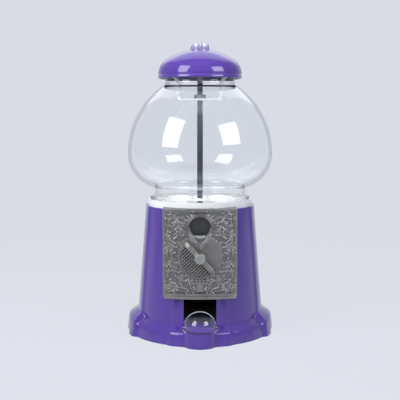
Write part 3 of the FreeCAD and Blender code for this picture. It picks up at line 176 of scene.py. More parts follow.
# finishes: a colour pair mixed by noise and a roughness range; scale and grain are noise scales per metre,
# the dark tone is the colour where the wear-and-shade attribute is 0 (painted shade, with patina on the
# plate), edge the colour of a clear wall seen edge on
finishes = {
    "violetEnamel": {
        "pair": ((0.060, 0.025, 0.240), (0.084, 0.037, 0.308)), "scale": 9.0, "rough": (0.10, 0.17),
        "grain": 420.0, "bump": 0.015, "sockets": {"Coat Weight": 0.4, "Coat Roughness": 0.05, "IOR": 1.45}},
    "whitePlastic": {
        "pair": ((0.82, 0.835, 0.85), (0.89, 0.90, 0.905)), "scale": 30.0, "rough": (0.26, 0.38),
        "grain": 900.0, "bump": 0.02, "sockets": {"Subsurface Weight": 0.05}},
    # a whiter copy of the white plastic for the strap: painted light against the shade under the lid
    "strapLitWhite": {
        "pair": ((0.92, 0.935, 0.95), (0.96, 0.965, 0.97)), "scale": 30.0, "rough": (0.26, 0.38),
        "grain": 900.0, "bump": 0.02, "sockets": {}},
    "globeGlass": {
        "pair": ((0.950, 0.965, 0.980), (0.970, 0.981, 0.992)), "scale": 12.0, "rough": (0.0, 0.012),
        "grain": 22.0, "bump": 0.012, "clear": True, "edge": (0.20, 0.23, 0.25),
        "sockets": {"Transmission Weight": 1.0, "IOR": 1.47}},
    "clearPlastic": {
        "pair": ((0.93, 0.95, 0.97), (0.98, 0.99, 1.0)), "scale": 60.0, "rough": (0.01, 0.04),
        "grain": 60.0, "bump": 0.01, "clear": True, "edge": (0.42, 0.42, 0.52),
        "sockets": {"Transmission Weight": 1.0, "IOR": 1.49, "Specular IOR Level": 0.9}},
    "pewter": {
        "pair": ((0.17, 0.165, 0.16), (0.34, 0.335, 0.33)), "scale": 90.0, "rough": (0.44, 0.60),
        "grain": 700.0, "bump": 0.10, "sockets": {"Metallic": 0.9}},
    "capPewter": {
        "pair": ((0.28, 0.28, 0.28), (0.46, 0.46, 0.46)), "scale": 110.0, "rough": (0.28, 0.42),
        "grain": 900.0, "bump": 0.05, "sockets": {"Metallic": 0.9}},
    # a darker copy of the pewter for the hatched fan: painted shade
    "fanShadedPewter": {
        "pair": ((0.13, 0.129, 0.128), (0.20, 0.199, 0.198)), "scale": 60.0, "rough": (0.28, 0.42),
        "grain": 1000.0, "bump": 0.10, "wearShadeTone": (0.060, 0.059, 0.058), "sockets": {"Metallic": 0.85}},
    "reliefPewter": {
        "pair": ((0.24, 0.238, 0.236), (0.35, 0.348, 0.345)), "scale": 60.0, "rough": (0.22, 0.36),
        "grain": 1000.0, "bump": 0.10, "wearShadeTone": (0.125, 0.123, 0.121), "sockets": {"Metallic": 0.85}},
    "rodSteel": {
        "pair": ((0.05, 0.05, 0.055), (0.16, 0.16, 0.17)), "scale": 160.0, "rough": (0.10, 0.22),
        "grain": 1200.0, "bump": 0.02, "sockets": {"Metallic": 1.0}},
    # painted shade on the rod: the dark tone is laid along it by the wear-and-shade attribute
    "shadedRod": {
        "pair": ((0.15, 0.15, 0.16), (0.36, 0.36, 0.38)), "scale": 160.0, "rough": (0.10, 0.22),
        "grain": 1200.0, "bump": 0.02, "wearShadeTone": (0.026, 0.028, 0.034), "sockets": {"Metallic": 1.0}},
    "zincSteel": {
        "pair": ((0.42, 0.42, 0.41), (0.58, 0.58, 0.57)), "scale": 120.0, "rough": (0.28, 0.45),
        "grain": 1500.0, "bump": 0.05, "sockets": {"Metallic": 1.0}},
    # a darker steel that paints the shade behind the coin window
    "shadedSteel": {
        "pair": ((0.06, 0.06, 0.06), (0.15, 0.15, 0.15)), "scale": 90.0, "rough": (0.40, 0.60),
        "grain": 1500.0, "bump": 0.06, "sockets": {"Metallic": 0.8}},
    "turnedBrass": {
        "pair": ((0.50, 0.34, 0.12), (0.68, 0.49, 0.20)), "scale": 140.0, "rough": (0.25, 0.42),
        "grain": 1500.0, "bump": 0.04, "sockets": {"Metallic": 1.0}},
    # a pale, partly metallic copy of the violet for the knob: painted light from the strong light behind it
    "knobPaleLit": {
        "pair": ((0.40, 0.37, 0.58), (0.52, 0.49, 0.70)), "scale": 60.0, "rough": (0.14, 0.26),
        "grain": 900.0, "bump": 0.03, "sockets": {"Metallic": 0.7}},
    "blackPlastic": {
        "pair": ((0.020, 0.020, 0.022), (0.040, 0.040, 0.043)), "scale": 70.0, "rough": (0.42, 0.60),
        "grain": 1600.0, "bump": 0.12, "sockets": {}},
    "softRubber": {
        "pair": ((0.014, 0.014, 0.014), (0.03, 0.03, 0.03)), "scale": 80.0, "rough": (0.65, 0.85),
        "grain": 1100.0, "bump": 0.10, "sockets": {}},
    "paleRubber": {
        "pair": ((0.74, 0.75, 0.76), (0.82, 0.83, 0.83)), "scale": 80.0, "rough": (0.5, 0.7),
        "grain": 1100.0, "bump": 0.06, "sockets": {}},
    "studioPaper": {
        "pair": ((0.70, 0.73, 0.79), (0.72, 0.75, 0.81)), "scale": 3.0, "rough": (0.85, 0.95),
        "grain": 240.0, "bump": 0.01, "glow": (0.735, 0.757, 0.818), "glowShare": 0.90, "sockets": {}},
}
finishRule = {"noiseSpan": (0.3, 0.7), "cloudDetail": 4.0, "rimSpan": (0.74, 0.86), "bumpDistance": 0.001}


def mapRange(tree, source, span, low=0.0, high=1.0):
    node = tree.nodes.new("ShaderNodeMapRange")
    setInputs(node, {"From Min": span[0], "From Max": span[1], "To Min": low, "To Max": high})
    tree.links.new(source, node.inputs["Value"])
    return node.outputs["Result"]


def mixColours(tree, factor, a, b, target):
    # sockets 0, 6 and 7 are the factor and the two colours of a colour mix, output 2 its colour
    mix = tree.nodes.new("ShaderNodeMix")
    mix.data_type = "RGBA"
    tree.links.new(factor, mix.inputs[0])
    for value, socket in ((a, mix.inputs[6]), (b, mix.inputs[7])):
        if isinstance(value, tuple):
            socket.default_value = (*value, 1.0)
        else:
            tree.links.new(value, socket)
    tree.links.new(mix.outputs[2], target)
    return mix.outputs[2]


def mixSurface(tree, factor, first, second):
    mix = tree.nodes.new("ShaderNodeMixShader")
    for socket, source in enumerate((factor, first, second)):
        tree.links.new(source, mix.inputs[socket])
    tree.links.new(mix.outputs[0], tree.nodes["Material Output"].inputs["Surface"])


def addGlow(tree, shader, look):
    # the paper keeps a pale even tone for the eye, in mirrors and through glass
    path = tree.nodes.new("ShaderNodeLightPath")
    tone = tree.nodes.new("ShaderNodeEmission")
    setInputs(tone, {"Color": (*look["glow"], 1.0)})
    factor = path.outputs["Is Camera Ray"]
    for ray in ("Is Glossy Ray", "Is Transmission Ray"):
        higher = tree.nodes.new("ShaderNodeMath")
        higher.operation = "MAXIMUM"
        tree.links.new(factor, higher.inputs[0])
        tree.links.new(path.outputs[ray], higher.inputs[1])
        factor = higher.outputs[0]
    share = mapRange(tree, factor, (0.0, 1.0), 0.0, look["glowShare"])
    mixSurface(tree, share, shader.outputs[0], tone.outputs[0])


def makeFinish(name, look):
    # noise on Object coordinates drives colour and roughness, a finer noise the bump
    material = bpy.data.materials.new(name)
    material.use_nodes = True
    tree = material.node_tree
    shader = tree.nodes["Principled BSDF"]
    setInputs(shader, look["sockets"])
    coords = tree.nodes.new("ShaderNodeTexCoord").outputs["Object"]
    cloud = tree.nodes.new("ShaderNodeTexNoise")
    grain = tree.nodes.new("ShaderNodeTexNoise")
    setInputs(cloud, {"Scale": look["scale"], "Detail": finishRule["cloudDetail"]})
    setInputs(grain, {"Scale": look["grain"]})
    for noise in (cloud, grain):
        tree.links.new(coords, noise.inputs["Vector"])
    rough = mapRange(tree, cloud.outputs["Fac"], finishRule["noiseSpan"], *look["rough"])
    tree.links.new(rough, shader.inputs["Roughness"])
    colour = mixColours(tree, cloud.outputs["Fac"], *look["pair"], shader.inputs["Base Color"])
    # painted shade: where the wear-and-shade attribute is low the colour turns to the dark tone, on the plate
    # together with patina
    if "wearShadeTone" in look:
        height = tree.nodes.new("ShaderNodeAttribute")
        height.attribute_name = "wearAndShade"
        mixColours(tree, height.outputs["Fac"], look["wearShadeTone"], colour, shader.inputs["Base Color"])
    if "edge" in look:
        facing = tree.nodes.new("ShaderNodeLayerWeight").outputs["Facing"]
        rim = mapRange(tree, facing, finishRule["rimSpan"])
        mixColours(tree, rim, colour, look["edge"], shader.inputs["Base Color"])
    bump = tree.nodes.new("ShaderNodeBump")
    setInputs(bump, {"Strength": look["bump"], "Distance": finishRule["bumpDistance"]})
    tree.links.new(grain.outputs["Fac"], bump.inputs["Height"])
    tree.links.new(bump.outputs["Normal"], shader.inputs["Normal"])
    if "glow" in look:
        addGlow(tree, shader, look)
    if "clear" in look:  # clear walls let the lamps' light through to what is behind them
        path, passing = (tree.nodes.new("ShaderNode" + kind) for kind in ("LightPath", "BsdfTransparent"))
        mixSurface(tree, path.outputs["Is Shadow Ray"], shader.outputs[0], passing.outputs[0])
    return material


materials = {name: makeFinish(name, look) for name, look in finishes.items()}
sweep.data.materials.append(materials["studioPaper"])

slotFinish = {
    "violet_enamel": "violetEnamel", "black_plastic": "blackPlastic", "black_rubber": "softRubber",
    "white_plastic": "whitePlastic", "clear_rubber": "paleRubber", "globe_glass": "globeGlass",
    "rod_steel": "rodSteel", "screw_steel": "zincSteel", "pewter": "pewter", "zinc_steel": "zincSteel",
    "pin_steel": "zincSteel", "spring_steel": "rodSteel", "bush_brass": "turnedBrass",
    "clear_plastic": "clearPlastic",
}

# the works behind the coin window are given darker steel as painted shade, the coin wheel a paler steel as
# painted light
hiddenFinish = {
    "mech_backplate": "shadedSteel", "ratchet_wheel": "shadedSteel", "stop_pawl": "shadedSteel",
    "gauge_lever": "shadedSteel", "coin_wheel": "zincSteel",
}
creaseDeg = 32.0


def dressNode(node, finish):
    # loose CAD triangles are welded, smoothed and split again along their creases
    piece = nodes[node]
    piece.data.materials.clear()
    piece.data.materials.append(materials[finish])
    piece.data.polygons.foreach_set("use_smooth", np.ones(len(piece.data.polygons), bool))
    piece.modifiers.new("weld", "WELD").merge_threshold = weldReach
    piece.modifiers.new("crease", "EDGE_SPLIT").split_angle = math.radians(creaseDeg)


for part in frame["record"]["subparts"]:
    dressNode(part["node"], hiddenFinish.get(part["node"], slotFinish[part["material_slot"]]))
print("stage: finishes")


def finishPiece(piece, finish, body, slot, *stoodFor):
    piece.data.materials.append(materials[finish])
    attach(piece, body)
    if stoodFor:
        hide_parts(*stoodFor)


# per-point values of the wear-and-shade attribute, which paint shade into the colour
def writeWearAndShade(piece, wearAndShade):
    values = wearAndShade.ravel().astype(np.float32)
    piece.data.attributes.new("wearAndShade", "FLOAT", "POINT").data.foreach_set("value", values)


def addBevel(piece, width, limit):
    bevel = piece.modifiers.new("round", "BEVEL")
    bevel.width, bevel.segments, bevel.limit_method = width * mm, bevelSteps, limit
    bevel.harden_normals = True


def addSheet(piece, thickness):
    sheet = piece.modifiers.new("sheet", "SOLIDIFY")
    sheet.thickness, sheet.offset = thickness * mm, -1.0


globeShape = {
    "bulgeR": 95.5, "midZ": 237.0, "upperArc": 108.5, "lowerArc": 45.0, "wall": 2.6, "shoulderR": 50.0,
    "lowerEndR": 64.0, "lowerRows": 40, "upperRows": 46, "waistR": 59.7, "waistPull": 3.4,
    "neckR": 45.5, "neckTop": 350.0, "neckPull": 1.6, "neckRise": 5.5,
    "rimR": 47.0, "rimTall": 5.0, "rimStep": 1.6, "rimRound": 1.2, "mouthRound": 0.8,
    "collarR": 66.2, "collarInR": 62.6, "collarTall": 6.2, "collarRound": 1.4, "collarFlat": 3.0,
    "collarRise": 0.2, "footZ": 174.4, "footPull": 1.8, "footDrop": 2.6, "segments": 192,
}


def globeWall(g, inset):
    # lower arc up to the widest ring, then the flatter upper arc up to the shoulder
    upperC, lowerC = g["bulgeR"] - g["upperArc"], g["bulgeR"] - g["lowerArc"]
    shoulder = math.degrees(math.acos((g["shoulderR"] - upperC) / g["upperArc"]))
    low = math.degrees(math.asin((g["lowerEndR"] - lowerC) / g["lowerArc"])) - 90
    lower = arcPoints((lowerC, g["midZ"]), g["lowerArc"] - inset, low, 0, g["lowerRows"])
    upper = arcPoints((upperC, g["midZ"]), g["upperArc"] - inset, 0, shoulder, g["upperRows"])
    return np.concatenate([lower, upper[1:]])


def smoothCorner(a, corner, b, count=9):
    # quadratic Bezier from a to b pulled towards the corner
    t = np.linspace(0, 1, count)[:, None]
    return (1 - t) ** 2 * np.array(a) + 2 * t * (1 - t) * np.array(corner) + t ** 2 * np.array(b)


def makeGlobe(g):
    # profile up the outer wall from collar to rim and down the inner wall, corners rounded, carried round Z
    outer, inner = globeWall(g, 0.0), globeWall(g, g["wall"])
    foot, neckTop, collar, collarIn = g["footZ"], g["neckTop"], g["collarR"], g["collarInR"]
    collarTop, rim, rimZ = foot + g["collarTall"], g["rimR"], neckTop - g["rimTall"]
    neck, neckIn = g["neckR"], g["neckR"] - g["wall"]
    waist, waistIn, waistZ = g["waistR"], g["waistR"] - g["wall"], (outer[0][1] + collarTop) / 2
    slope = (outer[0] - inner[0])[::-1] * (1, -1)
    bendZ = outer[0][1] + slope[1] / slope[0] * (waist - outer[0][0])
    bendInZ = inner[0][1] + slope[1] / slope[0] * (waistIn - inner[0][0])
    topZ, topInZ = outer[-1][1], inner[-1][1]
    flat, edge, mouth = g["collarRound"], g["rimRound"], g["mouthRound"]
    profile = np.concatenate([
        [(collar, foot)],
        smoothCorner((collar, collarTop - flat), (collar, collarTop), (collar - flat, collarTop)),
        smoothCorner((collar - g["collarFlat"], collarTop + g["collarRise"]),
                     (waist, collarTop + g["waistPull"]), (waist, waistZ)),
        smoothCorner((waist, waistZ), (waist, bendZ), outer[0])[1:-1],
        outer,
        smoothCorner(outer[-1], (neck, topZ + g["neckPull"]), (neck, topZ + g["neckRise"]))[1:],
        smoothCorner((neck, rimZ), (rim, rimZ), (rim, rimZ + g["rimStep"])),
        smoothCorner((rim, neckTop - edge), (rim, neckTop), (rim - edge, neckTop)),
        smoothCorner((neckIn + mouth, neckTop), (neckIn, neckTop), (neckIn, neckTop - mouth)),
        smoothCorner((neckIn, topInZ + g["neckRise"]), (neckIn, topInZ + g["neckPull"]), inner[-1])[:-1],
        inner[::-1],
        smoothCorner(inner[0], (waistIn, bendInZ), (waistIn, waistZ))[1:],
        smoothCorner((waistIn, waistZ), (waistIn, collarTop + g["footPull"]),
                     (collarIn, collarTop - g["footDrop"]))[1:],
        [(collarIn, foot)],
    ])
    piece = revolve("globeGlassShell", profile, g["segments"])
    finishPiece(piece, "globeGlass", "machine", "globe_glass", "globe")


lidShape = {
    "rimR": 55.1, "rimZ": 335.5, "bandZ": 341.6, "shoulderArc": 22.0, "crownArc": 80.0, "wall": 1.6,
    "holeR": 4.4, "crownRows": 36, "shoulderRows": 26,
    "groove": 0.55, "grooveTop": 0.2, "grooveTall": 1.2, "grooveLean": 0.24,
    "bead": 0.35, "beadTop": 2.0, "beadHigh": 1.2, "beadLow": 0.5, "beadTuck": 0.2,
    "ribIn": 44.8, "ribOut": 46.6, "ribFoot": 350.0, "segments": 192,
}


def makeLid(s):
    # profile out over the crown arc and the shoulder arc, down the grooved band to the beaded rim,
    # and back inside past the rib to the rod's hole, carried round Z
    shoulderC = s["rimR"] - s["shoulderArc"]
    crownZ = s["bandZ"] - math.sqrt((s["crownArc"] - s["shoulderArc"]) ** 2 - shoulderC ** 2)
    meet = math.degrees(math.atan2(s["bandZ"] - crownZ, shoulderC))

    def domeArc(inset):
        crownR, shoulderR = s["crownArc"] - inset, s["shoulderArc"] - inset
        holeDeg = math.degrees(math.acos(s["holeR"] / crownR))
        crown = arcPoints((0.0, crownZ), crownR, holeDeg, meet, s["crownRows"])
        shoulder = arcPoints((shoulderC, s["bandZ"]), shoulderR, meet, 0, s["shoulderRows"])
        return np.concatenate([crown, shoulder[1:]])

    r, foot, top, lean = s["rimR"], s["rimZ"], s["bandZ"] - s["grooveTop"], s["grooveLean"]
    cut, low, proud = r - s["groove"], top - s["grooveTall"], r + s["bead"]
    band = np.array([
        (r, top), (cut, top - lean), (cut, low + lean), (r, low),
        (r, foot + s["beadTop"]), (proud, foot + s["beadHigh"]), (proud, foot + s["beadLow"]),
        (r - s["beadTuck"], foot), (r - s["wall"], foot)])
    inside = domeArc(s["wall"])[::-1]
    lip, crown = inside[inside[:, 0] > s["ribOut"]], inside[inside[:, 0] < s["ribIn"]]
    rib = np.array([(s["ribOut"], s["ribFoot"]), (s["ribIn"], s["ribFoot"])])
    profile = np.concatenate([domeArc(0.0), band, lip, rib, crown])[::-1]
    finishPiece(revolve("lidDome", profile, s["segments"]), "violetEnamel", "lid_cap", "violet_enamel", "lid")


rodShape = {
    "r": 3.9, "bottom": 111.6, "top": 379.0, "pitch": 1.25, "depth": 0.42, "bevel": 0.8,
    "threads": ((111.6, 122.0), (172.0, 190.0), (290.0, 379.0)), "rowsPerTurn": 8, "segments": 40,
    # painted shade along the rod: wear-and-shade values at these heights, 0 darkest
    "shadeZ": (208.0, 213.0, 228.0, 289.0, 292.0), "wearAndShade": (0.45, 0.0, 0.0, 0.4, 1.0),
}


def makeRod(s):
    # r = plain radius less a triangle wave of z / pitch - angle / turn inside the threaded runs
    z = np.arange(s["bottom"], s["top"] + tiny, s["pitch"] / s["rowsPerTurn"])
    z[-1] = s["top"]
    a = np.linspace(0, 2 * np.pi, s["segments"], endpoint=False)
    wave = np.abs(2 * ((z[:, None] / s["pitch"] - a / (2 * np.pi)) % 1.0) - 1)
    cut = sum(((z > lo) & (z < hi)).astype(float) for lo, hi in s["threads"])[:, None]
    r = np.minimum(s["r"] - s["depth"] * wave * cut, (s["r"] - s["bevel"] + (s["top"] - z))[:, None])
    points = spread(r * np.cos(a), r * np.sin(a), z[:, None])
    poles = points[[0, -1]] * (0, 0, 1)
    points = np.concatenate([poles[:1], points, poles[1:]]) * mm
    piece = meshPiece("threadedRod", points, gridFaces(len(points), s["segments"], False, True))
    piece.modifiers.new("poles", "WELD").merge_threshold = tiny
    # painted shade along the rod: darkest from 213 to 228 mm high, lighter below, lightest on the top threads
    writeWearAndShade(piece, np.interp(points[..., 2] / mm, s["shadeZ"], s["wearAndShade"]))
    finishPiece(piece, "shadedRod", "machine", "rod_steel", "center_rod")


makeGlobe(globeShape)
makeLid(lidShape)
makeRod(rodShape)
print("stage: globe, lid and rod")

plateShape = {
    "halfWide": 46.6, "low": 63.0, "high": 171.5, "front": -83.5, "float": 0.06, "columns": 286, "rows": 332,
    "coinZ": 148.5, "windowR": 13.75, "snapReach": 0.26, "bezelR": 18.2, "bezelLean": 39.7, "bezelRise": 1.2,
    "ridges": (14.8, 16.1, 17.4), "ridgeHalf": 0.5, "ridgeRise": 0.75, "veeRise": 0.28,
    "shaftZ": 112.5, "discR": 28.3, "discRise": 2.0, "bushR": 6.9, "bushGap": 1.0, "ringPitch": 2.6,
    "ringRise": 0.30, "slotHalf": 11.8, "slotLow": 166.1, "slotHigh": 167.3, "slotDeep": 1.5,
    "beadInset": 1.7, "beadHalf": 0.9, "beadRise": 0.6, "scrollRise": 1.3, "edgeReach": 0.05, "edgeTuck": 0.4,
    # tones for the wear-and-shade attribute: patina and wear, with painted shade in the hollows and painted
    # highlight on the crests
    "wearShadeBezel": 0.12, "wearShadeDisc": 0.45, "wearShadeCrest": 0.45, "wearShadeRings": 0.6,
    "wearShadeGround": 0.30, "wearShadeRaised": 0.6, "wearShadeCurve": 1.5,
}

# ornament on one half of the plate, x to the side and z up, mirrored to the other half:
# scrolls are (x, z, outer r, inner r, start, turns, width), leaves are (x0, z0, x1, z1, bend, width),
# fronds are (x, z, r, from, to, count, length), berries are (x, z, r)
ornament = {
    "scrolls": (
        (34, 154, 8.6, 1.2, 250, -1.7, 1.35), (37.5, 128, 5.2, 0.9, 80, 1.6, 1.1),
        (36, 99, 5.6, 0.9, 90, -1.6, 1.1), (33, 80, 8.6, 1.2, 110, 1.7, 1.35),
        (12.5, 77, 4.8, 0.8, 200, -1.6, 1.0), (21, 93, 2.6, 0.6, 0, 1.2, 0.7)),
    "leaves": (
        (26, 150, 21, 136, 3, 1.6), (40, 146, 43, 136, -2, 1.5), (30, 163, 17, 164, 2, 1.4),
        (38, 164, 43.5, 166, 1, 1.2), (34, 134, 27, 140, 2, 1.5), (41, 122, 42.5, 110, -2, 1.5),
        (36, 122, 32, 111, 2, 1.5), (40, 93, 43, 86, -2, 1.3), (31, 95, 26, 90, -2, 1.4),
        (42, 76, 43.5, 69, -1, 1.2), (25, 75, 17, 72, 2, 1.6), (27, 70, 38, 69.5, -1, 1.2),
        (0, 69, 0, 83, 0, 1.9), (2.5, 70, 6, 83, 2, 1.2), (7, 69.5, 9, 70.5, 0, 1.0),
        (24, 84, 28, 92, 2, 1.3)),
    "fronds": (
        (34, 154, 8.8, 20, 200, 6, 4.6), (33, 80, 8.8, 150, 330, 6, 4.4), (37.5, 128, 5.4, -60, 60, 3, 3.0),
        (36, 99, 5.8, -60, 60, 3, 3.0), (12.5, 77, 5.0, 20, 150, 4, 3.4)),
    "berries": (
        (27.5, 166.5, 1.1), (43, 158, 1.0), (43, 104, 0.9), (43, 117, 0.9), (20, 68.5, 1.0),
        (22.5, 144, 0.9)),
    "sprigs": {
        "count": 230, "seed": 11, "long": (4.0, 7.5), "width": (0.7, 1.15), "rise": 0.9,
        "fromX": 1.0, "inset": 3.0, "slant": (-0.5, 1.4), "bend": (-1.2, 1.2), "points": 12},
}
strokeRule = {
    "leafLeast": 0.25, "leafLean": 0.75, "scrollCurve": 0.8, "scrollThins": 0.45, "eyeShare": 0.55,
    "frondSlant": 0.35, "frondBend": 0.8, "frondWidth": 1.05,
    "margin": 2.5, "riseLeast": 0.35, "riseShare": 0.5,
}


def leafPoints(x0, z0, x1, z1, bend, width, count=26):
    # quadratic curve bent to its left, as wide as a sine that leans to the root
    t = np.linspace(0, 1, count)
    dx, dz = x1 - x0, z1 - z0
    long = math.hypot(dx, dz)
    cx, cz = (x0 + x1) / 2 - dz / long * bend, (z0 + z1) / 2 + dx / long * bend
    x = (1 - t) ** 2 * x0 + 2 * t * (1 - t) * cx + t ** 2 * x1
    z = (1 - t) ** 2 * z0 + 2 * t * (1 - t) * cz + t ** 2 * z1
    wide = strokeRule["leafLeast"] + width * np.sin(np.pi * t ** strokeRule["leafLean"])
    return np.stack([x, z, wide], -1)


def scrollPoints(x, z, outer, inner, start, turns, width, count=110):
    # spiral whose radius shrinks by a power of the way along and whose stroke thins towards its round eye
    t = np.linspace(0, 1, count)
    a = np.radians(start + 360 * turns * t)
    r = outer + (inner - outer) * t ** strokeRule["scrollCurve"]
    wide = width * (1.0 - strokeRule["scrollThins"] * t)
    eye = np.array([[x, z, inner + width * strokeRule["eyeShare"]]])
    return np.concatenate([np.stack([x + r * np.cos(a), z + r * np.sin(a), wide], -1), eye])


def frondPoints(x, z, r, start, end, count, length):
    # short leaves that leave a circle at a slant
    roots = np.radians(np.linspace(start, end, count))
    tips, far = roots + strokeRule["frondSlant"], r + length
    ends = zip(x + r * np.cos(roots), z + r * np.sin(roots), x + far * np.cos(tips), z + far * np.sin(tips))
    return [leafPoints(*row, strokeRule["frondBend"], strokeRule["frondWidth"]) for row in ends]


def sprigPoints(s, low, high, side):
    # short leaves at seeded places and slants that fill the ground between the scrolls
    rng = np.random.default_rng(s["seed"])
    count = s["count"]
    x, z = rng.uniform(s["fromX"], side, count), rng.uniform(low, high, count)
    slant = rng.uniform(*s["slant"], count) + np.where(rng.random(count) < 0.5, 0.0, math.pi)
    long, width = rng.uniform(*s["long"], count), rng.uniform(*s["width"], count)
    bend = rng.uniform(*s["bend"], count)
    ends = np.stack([x, z, x + long * np.cos(slant), z + long * np.sin(slant), bend, width], -1)
    return [leafPoints(*row, count=s["points"]) for row in ends]


def ridgeHeight(distance, half):
    # half-round ridge: sqrt(1 - (distance / half width) squared)
    return np.sqrt(np.clip(1 - (distance / half) ** 2, 0, 1))


def strokeHeight(x, z, strokes):
    # highest of the half-round beads of every stroke point, a wide bead higher than a thin one
    best = np.zeros_like(x)
    for stroke in strokes:
        lo, hi = stroke[:, :2].min(0) - strokeRule["margin"], stroke[:, :2].max(0) + strokeRule["margin"]
        near = (x > lo[0]) & (x < hi[0]) & (z > lo[1]) & (z < hi[1])
        far = (x[near][:, None] - stroke[:, 0]) ** 2 + (z[near][:, None] - stroke[:, 1]) ** 2
        rise = np.minimum(1.0, strokeRule["riseLeast"] + strokeRule["riseShare"] * stroke[:, 2])
        bead = np.sqrt(np.clip(1 - far / stroke[:, 2] ** 2, 0, 1)) * rise
        best[near] = np.maximum(best[near], bead.max(1))
    return best


def ornamentHeight(s, o, x, z):
    strokes = [scrollPoints(*v) for v in o["scrolls"]] + [leafPoints(*v) for v in o["leaves"]]
    strokes += [leaf for v in o["fronds"] for leaf in frondPoints(*v)] + [np.array([v]) for v in o["berries"]]
    inset = o["sprigs"]["inset"]
    sprigs = sprigPoints(o["sprigs"], s["low"] + inset, s["high"] - inset, s["halfWide"] - inset)
    return np.maximum(strokeHeight(x, z, strokes), strokeHeight(x, z, sprigs) * o["sprigs"]["rise"])


def makePlateRelief(s, o):
    # height over a grid of x and z: flat field, bezel and disc as steps, then beads, ridges and ornament
    x, z = np.meshgrid(np.linspace(-s["halfWide"], s["halfWide"], s["columns"]),
                       np.linspace(s["low"], s["high"], s["rows"]))
    coin, shaft = np.hypot(x, z - s["coinZ"]), np.hypot(x, z - s["shaftZ"])
    snap = np.where(np.abs(coin - s["windowR"]) < s["snapReach"], s["windowR"] / coin, 1.0)
    x, z, coin = x * snap, s["coinZ"] + (z - s["coinZ"]) * snap, coin * snap
    lean = math.radians(s["bezelLean"])
    below = np.arctan2(s["coinZ"] - z, np.abs(x)) > lean
    drop = np.where(below, np.abs(x) * math.cos(lean) + (s["coinZ"] - z) * math.sin(lean), coin)
    bezel, disc = drop < s["bezelR"], (shaft < s["discR"]) & (coin > s["bezelR"])
    base = np.maximum(np.where(bezel, s["bezelRise"], 0.0), np.where(disc, s["discRise"], 0.0))
    ground = ~(bezel | disc)
    crest = np.maximum.reduce([ridgeHeight(drop - r, s["ridgeHalf"]) for r in s["ridges"]])
    ridge = crest * np.where(disc, s["veeRise"], s["ridgeRise"]) * (shaft > s["bushR"] + s["bushGap"])
    rings = (0.5 + 0.5 * np.cos(2 * np.pi * shaft / s["ringPitch"])) * disc * (drop > s["bezelR"])
    edge = np.minimum(s["halfWide"] - np.abs(x), np.minimum(z - s["low"], s["high"] - z))
    bead = ridgeHeight(edge - s["beadInset"], s["beadHalf"])
    scroll = ornamentHeight(s, o, np.abs(x), z) * (ground & (edge > s["beadInset"] + s["beadHalf"]))
    slot = (np.abs(x) < s["slotHalf"]) & (z > s["slotLow"]) & (z < s["slotHigh"])
    relief = [ridge, rings * s["ringRise"], bead * s["beadRise"] * ground, scroll * s["scrollRise"]]
    lift = np.where(slot, -s["slotDeep"], base + np.maximum.reduce(relief))
    lift = np.where(edge < s["edgeReach"], -s["edgeTuck"], lift)
    # patina and painted shade darken the hollows and the coin slot, wear and painted highlight lighten the
    # crests
    wearShadeStep = np.where(disc, s["wearShadeDisc"], s["wearShadeBezel"])
    wearShadeStep = wearShadeStep + s["wearShadeCrest"] * np.maximum(crest, s["wearShadeRings"] * rings)
    wearShadeField = s["wearShadeGround"] + s["wearShadeRaised"] * np.maximum(scroll, bead) ** s["wearShadeCurve"]
    points = np.stack([x, s["front"] - s["float"] - lift, z], -1) * mm
    faces = gridFaces(s["rows"], s["columns"])
    keep = ((coin > s["windowR"] - tiny) & (shaft > s["bushR"])).ravel()[faces].all(1)
    piece = meshPiece("plateRelief", points, faces[keep])
    writeWearAndShade(piece, np.where(slot, 0.0, np.where(ground, wearShadeField, wearShadeStep)))
    finishPiece(piece, "reliefPewter", "machine", "pewter")


fanShape = {
    "turnDeg": 47.0, "shaftZ": 112.5, "front": -89.4, "float": 0.05, "outerR": 25.2, "finHalf": 3.0,
    "spanDeg": (186.8, 353.2), "pitch": 3.1, "ridge": 0.8, "rimRise": 0.45, "rimShare": 0.965,
    "edgeShare": 0.995, "edgeTuck": 1.0, "shadeRim": 0.3, "shadeRidge": 0.8, "columns": 300, "rows": 150,
}


def makeFanHatch(s):
    # rows run from the fin's foot to the fan's arc; ridges along the fin cross ridges square to it
    angles = np.radians(np.linspace(*s["spanDeg"], s["columns"]))
    a, t = np.meshgrid(angles, np.linspace(0, 1, s["rows"]))
    x = s["outerR"] * np.cos(a)
    z = (1 - t) * -s["finHalf"] + t * s["outerR"] * np.sin(a)
    u, v = x / s["pitch"], z / s["pitch"]
    ridges = np.maximum(np.abs(2 * (u % 1) - 1), np.abs(2 * (v % 1) - 1)) ** 2
    reach = np.hypot(x, z) / s["outerR"]
    rim = reach > s["rimShare"]
    lift = np.where(rim, s["rimRise"], s["ridge"] * ridges)
    lift = np.where((t > s["edgeShare"]) | (reach > s["edgeShare"]), -s["edgeTuck"], lift)
    turn = math.radians(s["turnDeg"])
    across = x * math.cos(turn) + z * math.sin(turn)
    up = s["shaftZ"] - x * math.sin(turn) + z * math.cos(turn)
    points = np.stack([across, s["front"] - s["float"] - lift, up], -1) * mm
    piece = meshPiece("fanHatch", points, gridFaces(s["rows"], s["columns"])[:, ::-1])
    # painted shade: darkest in the hollows of the hatch, lighter on its ridges and rim
    writeWearAndShade(piece, np.where(rim, s["shadeRim"], s["shadeRidge"] * ridges))
    finishPiece(piece, "fanShadedPewter", "turning_handle", "pewter")


